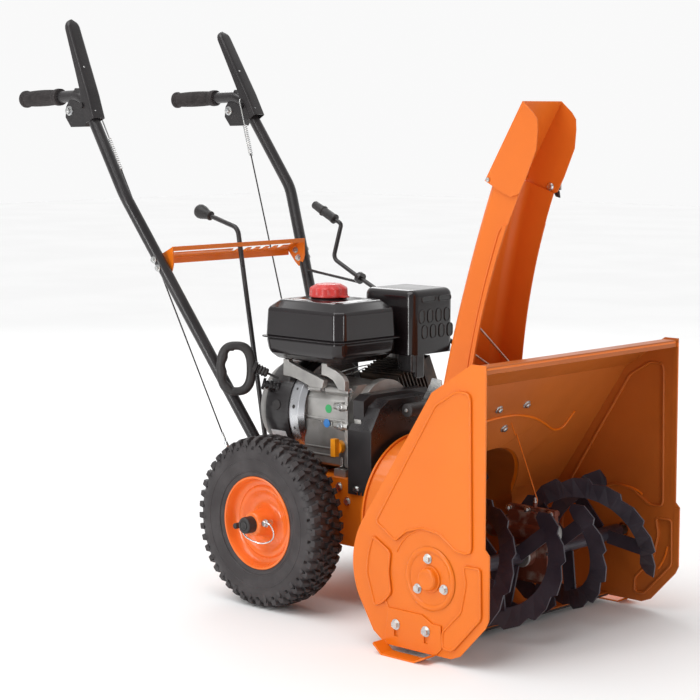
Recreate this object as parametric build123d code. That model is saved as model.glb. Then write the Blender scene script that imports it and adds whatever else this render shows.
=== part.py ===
"""Two-stage petrol snow blower, 560 mm working width.

Millimetres. While modelling, X runs forward from the wheel axle, Y to the operator's
left and Z up from the ground; every piece is moved by TO_ORIGIN as it is written, so
the finished origin is under the middle of the machine.
"""
import os
from math import cos, pi, radians, sin

from build123d import *

os.makedirs("parts", exist_ok=True)

# ---------------------------------------------------------------- driving dimensions
TO_ORIGIN = Pos(54, 0, 0)          # from the axle frame to the middle of the machine

# wheels
AXLE_Z = 165.0
TYRE_R = 165.0
TYRE_W = 84.0
TRACK_Y = 196.0                    # centre plane of each wheel
RIM_R = 89.0
RIM_FACE_Y = 232.0                 # outer flange of the rim
AXLE_R = 9.5
AXLE_PROUD = 32.0                  # axle end beyond the outer rim flange

# snow housing
SIDE_Y = 281.0                     # outer face of each side plate
SHEET = 2.5
AUGER_X, AUGER_Z = 483.0, 145.0
AUGER_R = 122.0
SHAFT_R = 9.5
DRUM_X = 195.0                     # rear face of the impeller drum
DRUM_Z = 185.0
DRUM_R = 145.0

# chute
CHUTE_X = 340.0                    # axis the chute turns about
RING_Z = 395.0                     # top of the fixed neck
NECK_R = 64.0
CHUTE_FOOT_Z, CHUTE_TOP_Z = RING_Z + 3.2, 814.0
CHUTE_FOOT_HALF, CHUTE_TOP_HALF = 76.0, 50.0
HOOD_HALF = 56.0
HOOD_PIVOT = (418.0, 822.0)         # X, Z of the deflector hinge
CHUTE_SHEET = 1.8

# traction frame and engine
FRAME_Y = 104.0
FRAME_SHEET = 3.0
FRAME_REAR, FRAME_TOP, FRAME_BOTTOM = -200.0, 248.0, 119.0
CRANK_Z = 358.0
OIL_X, OIL_Z = 89.0, 306.0          # filler plug on the crankcase side
TANK_NECK = (6.0, -40.0)
CAP_R = 37.0
TANK_SEAM_Z = 507.0

# belts
GROOVE, GROOVE_DEPTH = 9.2, 9.0
AUGER_PULLEY_R, DRIVE_PULLEY_R, CRANK_PULLEY_R = 62.0, 55.0, 34.0

# handles
BAR_R = 12.0
BAR_POINTS = [(-43, 116.5, 150), (-122, 116.5, 298), (-375, 233, 779), (-512, 221, 975),
              (-712, 211.5, 968.3)]
BAR_BENDS = [60, 120, 55]
LEVER_PIVOT = (-498.0, 222.2, 955.0)
SHIFT_PIVOT = (-219.0, 12.0, 228.0)
LEFT_LEVER_LEAN = 10.0             # the left lever rests further back than the right one
GATE_FRONT = (-284.0, 676.0)       # X, Z of the high front edge of the gear gate
GATE_REAR = (-335.0, 652.0)
GATE_HALF = 186.0

LOW = (Align.CENTER, Align.CENTER, Align.MIN)


# ---------------------------------------------------------------- shared shapes
def slab(points, y0, y1):
    """Plate with an outline in X and Z, between two Y planes."""
    outline = Polyline(*[(x, y0, z) for x, z in points], close=True)
    return extrude(make_face(outline), amount=y1 - y0, dir=(0, 1, 0))


def cross_slab(points, x0, x1, rounds=0):
    """Plate with an outline in Y and Z, between two X planes, its corners rounded if asked."""
    corners = [(x0, y, z) for y, z in points]
    if rounds:
        outline = FilletPolyline(*corners, radius=rounds, close=True)
    else:
        outline = Polyline(*corners, close=True)
    return extrude(make_face(outline), amount=x1 - x0, dir=(1, 0, 0))


def block(x0, x1, y0, y1, z0, z1):
    """Box between opposite corners."""
    box = Box(x1 - x0, y1 - y0, z1 - z0)
    return Pos((x0 + x1) / 2, (y0 + y1) / 2, (z0 + z1) / 2) * box


def turned(points, z):
    """Solid of revolution about an X line at height z, from (x, radius) points."""
    outline = Polyline(*[(x, 0, z + r) for x, r in points], close=True)
    return revolve(make_face(outline), axis=Axis((0, 0, z), (1, 0, 0)))


def wheel_turned(points):
    """Solid of revolution about the axle, from (distance to the right, radius) points."""
    outline = Polyline(*[(0, -y, AXLE_Z + r) for y, r in points], close=True)
    return revolve(make_face(outline), axis=Axis((0, 0, AXLE_Z), (0, 1, 0)))


def rod(start, end, radius):
    """Round bar between two points."""
    axis = Vector(*end) - Vector(*start)
    return Plane(origin=start, z_dir=axis) * Cylinder(radius, axis.length, align=LOW)


def sleeve(start, end, outer, inner):
    """Round tube between two points."""
    axis = Vector(*end) - Vector(*start)
    plane = Plane(origin=start, z_dir=axis)
    wall = Cylinder(outer, axis.length, align=LOW) - Cylinder(inner, axis.length, align=LOW)
    return plane * wall


def bent_rod(points, bends, radius, bore=0):
    """Round bar or tube through points, with a bend radius at each inner point."""
    path = FilletPolyline(*points, radius=bends)
    start = Plane(origin=path @ 0, z_dir=path % 0)
    section = start * Circle(radius)
    if bore:
        section = section - start * Circle(bore)
    return sweep(section, path=path)


def bolt(seat, direction, size=5.5, height=4.5):
    """Hexagon head on its washer, sitting on a surface."""
    plane = Plane(origin=seat, z_dir=direction)
    washer = Cylinder(size * 1.35, 1.2, align=LOW)
    head = Pos(0, 0, 1.2) * extrude(RegularPolygon(size, 6), height)
    return plane * (washer + head)


def to_left(part):
    """Copy on the operator's left of a piece built on the right."""
    return mirror(part, about=Plane.XZ)


def both_sides(part):
    """A piece and its mirror image, as separate solids of one node."""
    return [part, to_left(part)]


def save(node, *pieces):
    """Write one node in the finished frame."""
    solids = []
    for piece in pieces:
        items = piece if isinstance(piece, (list, tuple)) else [piece]
        for item in items:
            solids += list((TO_ORIGIN * item).solids())
    shape = solids[0] if len(solids) == 1 else Compound(children=solids)
    export_step(shape, f"parts/{node}.step")


# ---------------------------------------------------------------- snow housing
PLATE_TOP = [(602, 524), (572, 524), (483, 468), (325, 229)]
PLATE_LOW = [(314, 88), (349, 31), (377, 12), (530, 12), (550, 20), (605, 78), (612, 92), (612, 205),
             (603, 214)]


def plate_outline(y):
    """Closed outline of a side plate: straight edges and the round back."""
    top = Polyline(*[(x, y, z) for x, z in PLATE_TOP])
    back = ThreePointArc((325, y, 229), (299.5, y, 150), (314, y, 88))
    low = Polyline(*[(x, y, z) for x, z in PLATE_LOW + PLATE_TOP[:1]])
    return make_face(Wire([*top.edges(), *back.edges(), *low.edges()]))


def side_profile_solid(y0, y1, inset=0.0):
    """The side plate's outline as a block, optionally inset all round."""
    face = plate_outline(y0)
    if inset:
        face = offset(face, amount=-inset, kind=Kind.INTERSECTION)
    return extrude(face, amount=y1 - y0, dir=(0, 1, 0))


UPPER_PANEL = [(494, 447), (540, 475), (564, 475), (571, 468), (575, 208), (568, 202), (542, 202),
               (505, 227), (464, 232), (428, 221), (402, 200), (358, 229), (413, 318)]
REAR_PANEL = [(350, 200), (391, 178), (387, 142), (393, 106), (375, 87), (355, 77), (336, 134),
              (340, 168)]
FRONT_PANEL = [(559, 179), (595, 179), (597, 94), (535, 28), (513, 28), (513, 57), (554, 98),
               (565, 149)]


def pressed_panel(points, rise=2.5):
    """Raised panel and the hollow behind it, for the right side plate."""
    outline = Polyline(*[(x, -SIDE_Y, z) for x, z in points], close=True)
    inner = offset(make_face(outline), amount=-1.5)
    raised = slab(points, -SIDE_Y - rise, -SIDE_Y)
    hollow = extrude(inner, amount=SHEET, dir=(0, 1, 0))
    hollow += extrude(inner, amount=rise - 1.3, dir=(0, -1, 0))
    return raised, hollow


def side_plate():
    """Right side plate with its pressed panels, hem and bearing dish."""
    plate = side_profile_solid(-SIDE_Y, -SIDE_Y + SHEET)
    for points in (UPPER_PANEL, REAR_PANEL, FRONT_PANEL):
        raised, hollow = pressed_panel(points)
        plate = plate + raised - hollow
    centre = (AUGER_X, -SIDE_Y, AUGER_Z)
    plate += rod(centre, (AUGER_X, -SIDE_Y - 1.5, AUGER_Z), 52)
    plate += block(601, 612, -SIDE_Y + SHEET, -SIDE_Y + SHEET + 1.2, 95, 203)
    plate += block(592, 602, -SIDE_Y + SHEET, -SIDE_Y + SHEET + 1.2, 216, 508)
    plate -= rod((AUGER_X, -SIDE_Y - 5, AUGER_Z), (AUGER_X, -SIDE_Y + 5, AUGER_Z), 14)
    return plate


def housing_wrap():
    """Back, top and floor sheet between the side plates, with the top lip."""
    y = SIDE_Y - SHEET
    skin = side_profile_solid(-y, y, 3.0) - side_profile_solid(-y, y, 5.0)
    skin -= block(590, 640, -300, 300, 0, 508)
    skin -= block(452, 640, -300, 300, 0, 100)
    skin -= rod((180, 0, DRUM_Z), (440, 0, DRUM_Z), DRUM_R - 3)
    return skin


def impeller_drum():
    """Drum behind the auger, its rear plate and the fixed neck of the chute."""
    barrel = rod((DRUM_X, 0, DRUM_Z), (440, 0, DRUM_Z), DRUM_R)
    neck = rod((CHUTE_X, 0, DRUM_Z + 60), (CHUTE_X, 0, RING_Z - 3), NECK_R)
    flange = rod((CHUTE_X, 0, RING_Z - 3), (CHUTE_X, 0, RING_Z), NECK_R + 14)
    body = barrel + neck + flange
    body += rod((DRUM_X, 0, DRUM_Z), (DRUM_X + 5, 0, DRUM_Z), DRUM_R + 5)
    body -= rod((DRUM_X + 2.5, 0, DRUM_Z), (440, 0, DRUM_Z), DRUM_R - 3)
    body -= rod((CHUTE_X, 0, DRUM_Z), (CHUTE_X, 0, RING_Z + 1), NECK_R - 2.5)
    body -= rod((DRUM_X - 1, 0, DRUM_Z), (DRUM_X + 10, 0, DRUM_Z), SHAFT_R + 0.06)
    body -= side_profile_solid(-SIDE_Y, SIDE_Y, 3.0)
    return body


def scraper_bar():
    """Wear strip along the bottom edge of the housing."""
    return block(404, 452, -SIDE_Y + SHEET + 1, SIDE_Y - SHEET - 1, 10.5, 14.9)


def skid():
    """Right skid shoe: slotted upright and a turned-out sole."""
    y = -SIDE_Y
    plate = [(387, 79), (465, 79), (489, 67), (509, 67), (511, 26), (497, 12), (379, 12), (379, 24)]
    sole_top = [(377, 20), (396, 3), (471, 3), (496, 15)]
    sole_bottom = [(497, 12), (472, 0), (395, 0), (375, 17)]
    upright = slab(plate, y - 3, y)
    sole = slab(sole_top + sole_bottom, y - 31, y)
    upright -= slab(sole_top + [(500, 0), (370, 0)], y - 31, y + 1)
    for x in (406, 475.5):
        upright -= slab([(x - 4.5, 30), (x + 4.5, 30), (x + 4.5, 58), (x - 4.5, 58)], y - 4, y + 1)
    return upright + sole


def auger_bearing():
    """Flanged bush that carries the right end of the auger shaft."""
    y = -SIDE_Y - 1.5
    seat = (AUGER_X, y, AUGER_Z)
    body = rod(seat, (AUGER_X, y - 3, AUGER_Z), 24) + rod(seat, (AUGER_X, y - 9, AUGER_Z), 17)
    return body - rod((AUGER_X, y + 1, AUGER_Z), (AUGER_X, y - 10, AUGER_Z), SHAFT_R + 0.06)


# ---------------------------------------------------------------- auger and impeller
def auger_shaft():
    """Cross shaft through the gearbox and both bearings."""
    return rod((AUGER_X, -SIDE_Y - 8, AUGER_Z), (AUGER_X, SIDE_Y + 8, AUGER_Z), SHAFT_R)


BLADE_OUTER, BLADE_INNER = 248.0, 50.0     # distance of the two ends of a blade from the middle
BLADE_TURN = 320.0
BLADE_PHASES = (-40.0, 100.0)


def blade_y(share):
    """Right-hand position along the shaft; the blade steepens towards its outer end."""
    return -(BLADE_INNER + (BLADE_OUTER - BLADE_INNER) * (1 - share) ** 1.6)


def tooth_stations(teeth):
    """Shares of the blade's length and its outer radius there: one saw tooth after another."""
    stations = []
    for k in range(teeth):
        stations.append((k / teeth, AUGER_R - 9))
        stations.append(((k + 0.14) / teeth, AUGER_R))
        stations.append(((k + 0.62) / teeth, AUGER_R - 2))
    stations.append((1.0, AUGER_R - 9))
    return stations


def ribbon(phase, inner=84.0, teeth=11, thickness=3.5):
    """Saw-toothed helical blade as a faceted plate, starting at a phase in degrees."""
    rings = []
    for share, tooth in tooth_stations(teeth):
        angle = radians(phase + BLADE_TURN * share)
        y = blade_y(share)
        ends = 8.0 if share in (0.0, 1.0) else 0.0
        low, high = inner + ends, tooth - ends
        corners = []
        for r, dy in ((low, 0), (high, 0), (high, thickness), (low, thickness)):
            corners.append(Vector(AUGER_X + r * cos(angle), y + dy, AUGER_Z + r * sin(angle)))
        rings.append(corners)
    faces = [Face(Wire.make_polygon(rings[0])), Face(Wire.make_polygon(rings[-1]))]
    for a, b in zip(rings, rings[1:]):
        for k in range(4):
            m = (k + 1) % 4
            faces.append(Face(Wire.make_polygon([a[k], a[m], b[k]])))
            faces.append(Face(Wire.make_polygon([a[m], b[m], b[k]])))
    return Solid(Shell(faces))


def spoke(y, angle_deg):
    """Flat arm from the auger tube out to a blade."""
    arm = block(12.2, 88, -2, 2, -13, 13)
    return Pos(AUGER_X, y, AUGER_Z) * Rot(0, -angle_deg, 0) * arm


def auger():
    """Right-hand auger: tube, two blades, their arms and the shear bolt head."""
    body = sleeve((AUGER_X, -262, AUGER_Z), (AUGER_X, -40, AUGER_Z), 14, SHAFT_R + 0.3)
    for phase in BLADE_PHASES:
        body += ribbon(phase)
        for share in (0.1, 0.55, 0.93):
            body += spoke(blade_y(share) + 1.75, phase + BLADE_TURN * share)
    body += rod((AUGER_X, -90, AUGER_Z + 13), (AUGER_X, -90, AUGER_Z + 19), 5)
    return body - rod((AUGER_X, -300, AUGER_Z), (AUGER_X, 0, AUGER_Z), SHAFT_R + 0.3)


def gearbox():
    """Cast worm gearbox: two halves with a bolted flange, and the worm housing."""
    body = block(AUGER_X - 46, AUGER_X + 46, -16, 16, AUGER_Z - 46, AUGER_Z + 78)
    body = fillet(body.edges().filter_by(Axis.Y), 10)
    body += block(AUGER_X - 54, AUGER_X + 54, -5, 5, AUGER_Z - 54, AUGER_Z + 85)
    body += rod((AUGER_X, -32, AUGER_Z), (AUGER_X, 32, AUGER_Z), 21)
    body += rod((AUGER_X - 92, 0, DRUM_Z), (AUGER_X + 50, 0, DRUM_Z), 22)
    body += rod((AUGER_X + 5, 0, AUGER_Z + 84), (AUGER_X + 5, 0, AUGER_Z + 94), 4)
    for x, z in ((-47, -47), (47, -47), (-47, 78), (47, 78), (47, 8)):
        body += rod((AUGER_X + x, -11, AUGER_Z + z), (AUGER_X + x, 11, AUGER_Z + z), 6)
    body -= rod((AUGER_X, -40, AUGER_Z), (AUGER_X, 40, AUGER_Z), SHAFT_R + 0.06)
    body -= rod((AUGER_X, -12, AUGER_Z), (AUGER_X, 12, AUGER_Z), 30)
    body -= rod((AUGER_X - 100, 0, DRUM_Z), (AUGER_X + 40, 0, DRUM_Z), SHAFT_R + 0.06)
    body -= rod((AUGER_X - 24, 0, DRUM_Z), (AUGER_X + 24, 0, DRUM_Z), 14)
    return body


def worm_wheel():
    """Bronze wheel on the auger shaft."""
    return sleeve((AUGER_X, -9, AUGER_Z), (AUGER_X, 9, AUGER_Z), 26, SHAFT_R + 0.02)


def impeller_shaft():
    """Shaft from the belt pulley through the drum into the gearbox, with its worm."""
    shaft = rod((160, 0, DRUM_Z), (AUGER_X + 38, 0, DRUM_Z), SHAFT_R)
    return shaft + rod((AUGER_X - 20, 0, DRUM_Z), (AUGER_X + 20, 0, DRUM_Z), 12.5)


def impeller():
    """Four-bladed fan in the drum."""
    body = sleeve((DRUM_X + 18, 0, DRUM_Z), (DRUM_X + 88, 0, DRUM_Z), 20, SHAFT_R + 0.02)
    for k in range(4):
        blade = block(0, 62, 18, 134, -2, 2) + block(0, 62, 116, 134, 2, 14)
        body += Pos(DRUM_X + 22, 0, DRUM_Z) * Rot(90 * k + 25, 0, 0) * blade
    return body - rod((DRUM_X, 0, DRUM_Z), (DRUM_X + 100, 0, DRUM_Z), SHAFT_R + 0.02)


def pulley(x0, x1, z, radius, bore):
    """Belt pulley on an X shaft: one groove between two flanges."""
    mid = (x0 + x1) / 2
    rear, front = mid - GROOVE / 2, mid + GROOVE / 2
    floor = radius - GROOVE_DEPTH
    half = [(x0, bore), (x1, bore), (x1, radius), (front, radius), (front, floor), (rear, floor),
            (rear, radius), (x0, radius)]
    return turned(half, z)


def belt_loop(x0, x1, low_r, high_r):
    """Solid stadium between two X planes, round the drum axis and the crankshaft."""
    with BuildSketch(Plane(origin=(x0, 0, 0), x_dir=(0, 1, 0), z_dir=(1, 0, 0))) as sketch:
        with Locations((0, DRUM_Z)):
            Circle(low_r)
        with Locations((0, CRANK_Z)):
            Circle(high_r)
        make_hull()
    return extrude(sketch.sketch, amount=x1 - x0)


def belt(x0, x1, low_pulley, thickness=6.0):
    """Slack belt round a low pulley and the crankshaft pulley."""
    low_r = low_pulley - GROOVE_DEPTH + 0.5
    high_r = CRANK_PULLEY_R - GROOVE_DEPTH + 0.5
    outer = belt_loop(x0, x1, low_r + thickness, high_r + thickness)
    return outer - belt_loop(x0, x1, low_r, high_r)


# ---------------------------------------------------------------- chassis and wheels
def frame():
    """Traction box: folded sheet, open under the belts, with the rear bracket."""
    t = FRAME_SHEET
    inner_y = FRAME_Y - t
    body = block(FRAME_REAR, DRUM_X, -FRAME_Y, FRAME_Y, FRAME_BOTTOM, FRAME_TOP)
    body -= block(FRAME_REAR + t, DRUM_X + 1, -inner_y, inner_y, FRAME_BOTTOM + t, FRAME_TOP - t)
    body -= block(122, DRUM_X + 1, -inner_y, inner_y, FRAME_TOP - 4, FRAME_TOP + 1)
    for y0, y1 in ((-inner_y, 20 - inner_y), (inner_y - 20, inner_y)):
        body += block(DRUM_X - t, DRUM_X, y0, y1, FRAME_BOTTOM + t, FRAME_TOP)
    x, y, z = SHIFT_PIVOT
    body += block(x - 19, x - 15, y - 18, y + 18, z - 22, z + 18)
    body += block(x - 19, FRAME_REAR, y - 18, y + 18, z - 22, z - 18)
    body += rod((x - 19, y, z), (FRAME_REAR, y, z), 4)
    for side in (-1, 1):
        y = side * FRAME_Y
        body += block(-206, -176, min(y, y + side * 22), max(y, y + side * 22), 238, 246)
        body += rod((0, y, AXLE_Z), (0, y + side * 8, AXLE_Z), 24)
    body -= rod((0, -120, AXLE_Z), (0, 120, AXLE_Z), AXLE_R + 0.06)
    return body


def axle():
    """Wheel shaft, standing out of both hubs."""
    return rod((0, -RIM_FACE_Y - AXLE_PROUD, AXLE_Z), (0, RIM_FACE_Y + AXLE_PROUD, AXLE_Z), AXLE_R)


RIM_BAND = [(RIM_FACE_Y, RIM_R), (RIM_FACE_Y - 8, RIM_R - 7), (RIM_FACE_Y - 22, RIM_R - 10),
            (RIM_FACE_Y - 30, RIM_R - 22), (TRACK_Y - 8, RIM_R - 22), (TRACK_Y - 18, RIM_R - 10),
            (TRACK_Y - 28, RIM_R - 7), (TRACK_Y - 36, RIM_R)]


RIM_DISH = [(36, RIM_R - 24.2), (20, 50), (30, 30), (30, 22), (32.5, 22), (32.5, 31), (22.5, 51),
            (38.5, RIM_R - 24.2)]          # depth behind the rim face, radius
RIM_SHEET = 2.2
VALVE_ROOT = (-52, -RIM_FACE_Y + 24, AXLE_Z - 12)
VALVE_TIP = (-50, -RIM_FACE_Y - 2, AXLE_Z - 12)


def rim():
    """Right rim: dished disc, drop centre and hub tube, revolved about the axle."""
    inner = [(y, r - RIM_SHEET) for y, r in reversed(RIM_BAND)]
    body = wheel_turned(RIM_BAND + inner)
    body += wheel_turned([(RIM_FACE_Y - depth, r) for depth, r in RIM_DISH])
    body += rod((0, -RIM_FACE_Y - 6, AXLE_Z), (0, -TRACK_Y + 46, AXLE_Z), 22.3)
    body -= rod((0, -260, AXLE_Z), (0, -100, AXLE_Z), 12.5)
    body += sleeve((0, -RIM_FACE_Y - 6, AXLE_Z), (0, -TRACK_Y + 46, AXLE_Z), 22.3, AXLE_R + 0.3)
    return body - rod(VALVE_ROOT, VALVE_TIP, 3.8)


TYRE_BEAD = 35.0                    # half the distance between the tyre's beads


def tyre():
    """Right tyre: rounded carcass with a flat tread, beads on the rim flanges."""
    half = TYRE_W / 2
    outer = [(TYRE_BEAD, RIM_R - 3), (TYRE_BEAD + 3, RIM_R + 2), (half - 1, 112), (half, 130),
             (half - 6, 150), (half - 20, TYRE_R)]
    inner = [(TYRE_BEAD - 6, RIM_R - 1), (half - 10, 112), (half - 9, 130), (half - 20, 147)]
    profile = [(-w, r) for w, r in outer] + outer[::-1] + inner + [(-w, r) for w, r in inner[::-1]]
    carcass = wheel_turned([(TRACK_Y - w, r) for w, r in profile])
    return carcass - wheel_turned([(RIM_FACE_Y, 0)] + RIM_BAND + [(TRACK_Y - 36, 0)])


def wheel_pin():
    """Right quick-release pin through the hub, with its wire bow and the tyre valve."""
    y = -RIM_FACE_Y + 4
    pin = rod((26, y, AXLE_Z + 5), (41, y, AXLE_Z + 5), 4)
    bow_corners = [(38, -0.5), (38, -34), (-14, -34), (-24, -6)]
    bow = bent_rod([(x, y, AXLE_Z + z) for x, z in bow_corners], 11, 1.2)
    valve = rod(VALVE_ROOT, VALVE_TIP, 3.6)
    return [pin, bow, valve]


def drive_disc():
    """Traction pulley, its shaft and the friction disc inside the frame."""
    disc = rod((30, 0, DRUM_Z), (38, 0, DRUM_Z), 58)
    shaft = rod((-20, 0, DRUM_Z), (146, 0, DRUM_Z), 8)
    return disc + shaft + pulley(132, 144, DRUM_Z, DRIVE_PULLEY_R, 8)


# ---------------------------------------------------------------- engine
def crankcase():
    """Aluminium crankcase with feet, side bosses and the front cover."""
    section = [(-78, 262), (-84, 272), (-84, 392), (-62, 422), (24, 422), (58, 402), (58, 262)]
    case = cross_slab(section, -16, 104, 6)
    for x0, x1 in ((-14, 16), (74, 104)):
        case += block(x0, x1, -96, 70, FRAME_TOP, 262)
    case += rod((104, 0, CRANK_Z), (122, 0, CRANK_Z), 72)
    for z in (345, 382):
        case += rod((70, -88, z), (106, -88, z), 6.5)
    for x0, x1 in ((-8, 24), (38, 98)):
        case += rod((x0, -76, 410), (x1, -76, 410), 8)
    case += rod((OIL_X, -84, OIL_Z), (OIL_X, -92, OIL_Z), 13)
    case -= rod((OIL_X, -93, OIL_Z), (OIL_X, -76, OIL_Z), 8.06)
    case -= rod((-20, 0, CRANK_Z), (125, 0, CRANK_Z), 12.56)
    return case


def tilt_up(part):
    """Place a cylinder piece, built along Y, on the inclined bore of the engine."""
    return Pos(48, 58, 372) * Rot(25, 0, 0) * part


def cylinder():
    """Cylinder barrel, cooling fins, head and rocker cover on the inclined bore."""
    body = tilt_up(block(-36, 36, 0, 98, -36, 36))
    for k in range(9):
        y = 12 + 9 * k
        body += tilt_up(block(-52, 52, y, y + 3, -50, 50))
    body += tilt_up(block(-48, 48, 96, 110, -44, 44)) + tilt_up(block(-40, 40, 110, 134, -34, 34))
    body -= block(-60, 120, 0, 58.2, 250, 460)
    return body


def fan_housing():
    """Blower housing behind the crankcase and the ribbed outlet of the starter rope."""
    shell = rod((-105, 0, CRANK_Z), (-43, 0, CRANK_Z), 105)
    shell += block(-105, -43, 20, 96, 380, 452)
    shell -= rod((-102, 0, CRANK_Z), (-42, 0, CRANK_Z), 100)
    shell -= rod((-110, 0, CRANK_Z), (-100, 0, CRANK_Z), 70)
    for k, radius in enumerate((12, 9, 12, 9, 12)):
        start = (-84 - 5 * k, -88 - 4.7 * k, 402 + 2 * k)
        end = (-88 - 5 * k, -91.8 - 4.7 * k, 403.6 + 2 * k)
        shell += rod(start, end, radius)
    shell += rod((-80, -84, 400), (-107, -109.5, 411.5), 7)
    return shell


def shroud_plate():
    """Bright cooling shroud between the blower housing and the crankcase."""
    plate = rod((-43, 0, CRANK_Z), (-16, 0, CRANK_Z), 100)
    plate -= rod((-40.5, 0, CRANK_Z), (-18.5, 0, CRANK_Z), 97.5)
    return plate - rod((-44, 0, CRANK_Z), (-15, 0, CRANK_Z), 60)


def recoil_cover():
    """Domed starter cover with its vent ring."""
    outside = [(-105, 0), (-105, 99), (-118, 96), (-140, 84), (-148, 62), (-150, 0)]
    inside = [(-105, 0), (-105, 95), (-117, 92.5), (-137, 81), (-145, 60), (-147, 0)]
    return turned(outside, CRANK_Z) - turned(inside, CRANK_Z)


HANDLE_MID = (-141.0, -149.5, 441.5)


def pull_handle():
    """Starter handle: closed loop facing the side, with the rope stub."""
    loop = extrude(RectangleRounded(78, 108, 30), 15) - extrude(RectangleRounded(44, 80, 18), 15)
    facing = Plane(origin=HANDLE_MID, x_dir=(0.725, 0.689, 0), z_dir=(0.689, -0.725, 0))
    neck = Pos(42, -8, 7.5) * Rot(0, 90, 0) * Cylinder(5, 12)
    return facing * (Pos(0, 0, -7.5) * loop + Pos(0, 0, -7.5) * neck)


TANK_X, TANK_Y = (-100.0, 108.0), (-116.0, 56.0)


def tank_outline(z, inset=0.0):
    """Plan outline of the tank at a height, with cut corners, moved inwards by an inset."""
    (x0, x1), (y0, y1) = TANK_X, TANK_Y
    x0, x1, y0, y1 = x0 + inset, x1 - inset, y0 + inset, y1 - inset
    cut = 15.0
    points = [(x0, y0 + 8), (x0 + 8, y0), (x1 - cut, y0), (x1, y0 + cut), (x1, y1 - cut),
              (x1 - cut, y1), (x0 + cut, y1), (x0, y1 - cut)]
    return make_face(Polyline(*[(x, y, z) for x, y in points], close=True))


def fuel_tank():
    """Pressed tank: two shells on a seam flange, and the black filler ring."""
    x, y = TANK_NECK
    levels = [(463, 16), (480, 1), (TANK_SEAM_Z, 0), (564, 2), (582, 22)]
    sections = [tank_outline(z, inset) for z, inset in levels]
    body = extrude(tank_outline(TANK_SEAM_Z - 1.5, -6), amount=3, dir=(0, 0, 1))
    for below, above in zip(sections, sections[1:]):
        body += loft([below, above])
    return body + rod((x, y, 582), (x, y, 585), 34)


def fuel_cap():
    """Fuel cap with grip lobes and its side tab."""
    x, y = TANK_NECK
    cap = rod((x, y, 585.3), (x, y, 610), CAP_R)
    for k in range(8):
        angle = k * pi / 4
        lobe_x, lobe_y = x + (CAP_R + 6) * cos(angle), y + (CAP_R + 6) * sin(angle)
        cap -= rod((lobe_x, lobe_y, 590), (lobe_x, lobe_y, 615), 8)
    return cap + block(x + CAP_R - 1, x + CAP_R + 12, y - 5, y + 5, 586, 590)


def tank_brackets():
    """Two cast arms from the crankcase up to the tank."""
    first = [(-64, 462.8), (-50, 462.8), (-48, 458), (-10, 446.5), (21, 438), (47, 430), (42, 414),
             (12, 414), (-23, 425), (-42, 429), (-64, 430)]
    second = [(40, 462.8), (54, 462.8), (56, 458), (78, 452), (96, 442), (103, 433), (103, 414),
              (87, 414), (71, 432), (56, 438), (40, 440)]
    return [slab(points, -96, -84) for points in (first, second)]


def muffler():
    """Silencer box behind the heat shield, with its inlet pipe to the head."""
    box = fillet(block(26, 118, 76, 176, 500, 582).edges().filter_by(Axis.X), 14)
    pipe = rod((70, 150, 452), (70, 150, 502), 14) - tilt_up(block(-53, 53, 0, 135, -51, 51))
    return box + pipe


def shield_block(x0, x1, inset):
    """Block with the guard's chamfered front, moved inwards by an inset."""
    body = block(x0, x1, 65 + inset, 190 - inset, 470 - 4 * inset, 597 - inset)
    body = chamfer(body.edges().filter_by(Axis.Z).sort_by(Axis.X)[-2:], 12 - inset)
    top = body.faces().sort_by(Axis.Z)[-1]
    return chamfer(top.edges().sort_by(Axis.X)[-3:], 9 - inset / 2)


def muffler_shield():
    """Black guard over the silencer: slotted front, open towards the rear."""
    shell = shield_block(-2, 131, 0) - shield_block(-6, 128, 3)
    for row in range(2):
        for k in range(6):
            y = 92 + 14 * k
            z = 546 - 34 * row
            shell -= block(120, 140, y, y + 6, z - 22, z)
    shell += block(125, 129, 78, 104, 425, 474)
    return shell


def carb_cover():
    """Snow cover over the carburettor."""
    return chamfer(block(-112, -8, 70, 145, 453.5, 530).edges(), 9)


def oil_plug():
    """Filler plug on the side of the crankcase."""
    plug = rod((OIL_X, -92.3, OIL_Z), (OIL_X, -104, OIL_Z), 12.5)
    plug += block(OIL_X - 6, OIL_X + 6, -115, -104, OIL_Z - 17, OIL_Z + 17)
    return plug + rod((OIL_X, -93, OIL_Z), (OIL_X, -78, OIL_Z), 8)


def crank_pulley():
    """Crankshaft end with the two-belt pulley."""
    shaft = rod((-70, 0, CRANK_Z), (180, 0, CRANK_Z), 12.5)
    for x in (130, 164):
        shaft += pulley(x, x + 16, CRANK_Z, CRANK_PULLEY_R, 12)
    return shaft


def belt_cover():
    """Folded sheet cover over the belts, screwed to the frame side."""
    front = [(-110, 222), (-110, 345), (-84, 388), (-60, 402), (62, 402), (84, 388), (110, 345),
             (110, 222)]
    rear = [(-110, 222), (-110, 345), (-96, 362), (-96, 400), (-78, 410), (80, 410), (98, 400),
            (98, 362), (110, 345), (110, 222)]
    front_inside = [(-108, 200), (-108, 344), (-82.5, 386), (-59, 400), (61, 400), (82.5, 386),
                    (108, 344), (108, 200)]
    rear_inside = [(y * 0.975, z - 2) for y, z in rear]
    cover = cross_slab(front, 150, 184) + cross_slab(rear, 124, 152)
    cover -= cross_slab(front_inside, 122, 182) + cross_slab(rear_inside, 122, 150)
    cover -= block(120, 190, -FRAME_Y - 0.2, FRAME_Y + 0.2, 200, FRAME_TOP + 0.2)
    cover -= rod((170, 0, DRUM_Z), (200, 0, DRUM_Z), 100)
    for x in (146, 156):
        cover -= block(x, x + 3, -112, -100, 220, 228)
    return cover


# ---------------------------------------------------------------- handles and controls
def right(points):
    """Mirror a list of left-hand points to the right-hand side."""
    return [(x, -y, z) for x, y, z in points]


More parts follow.
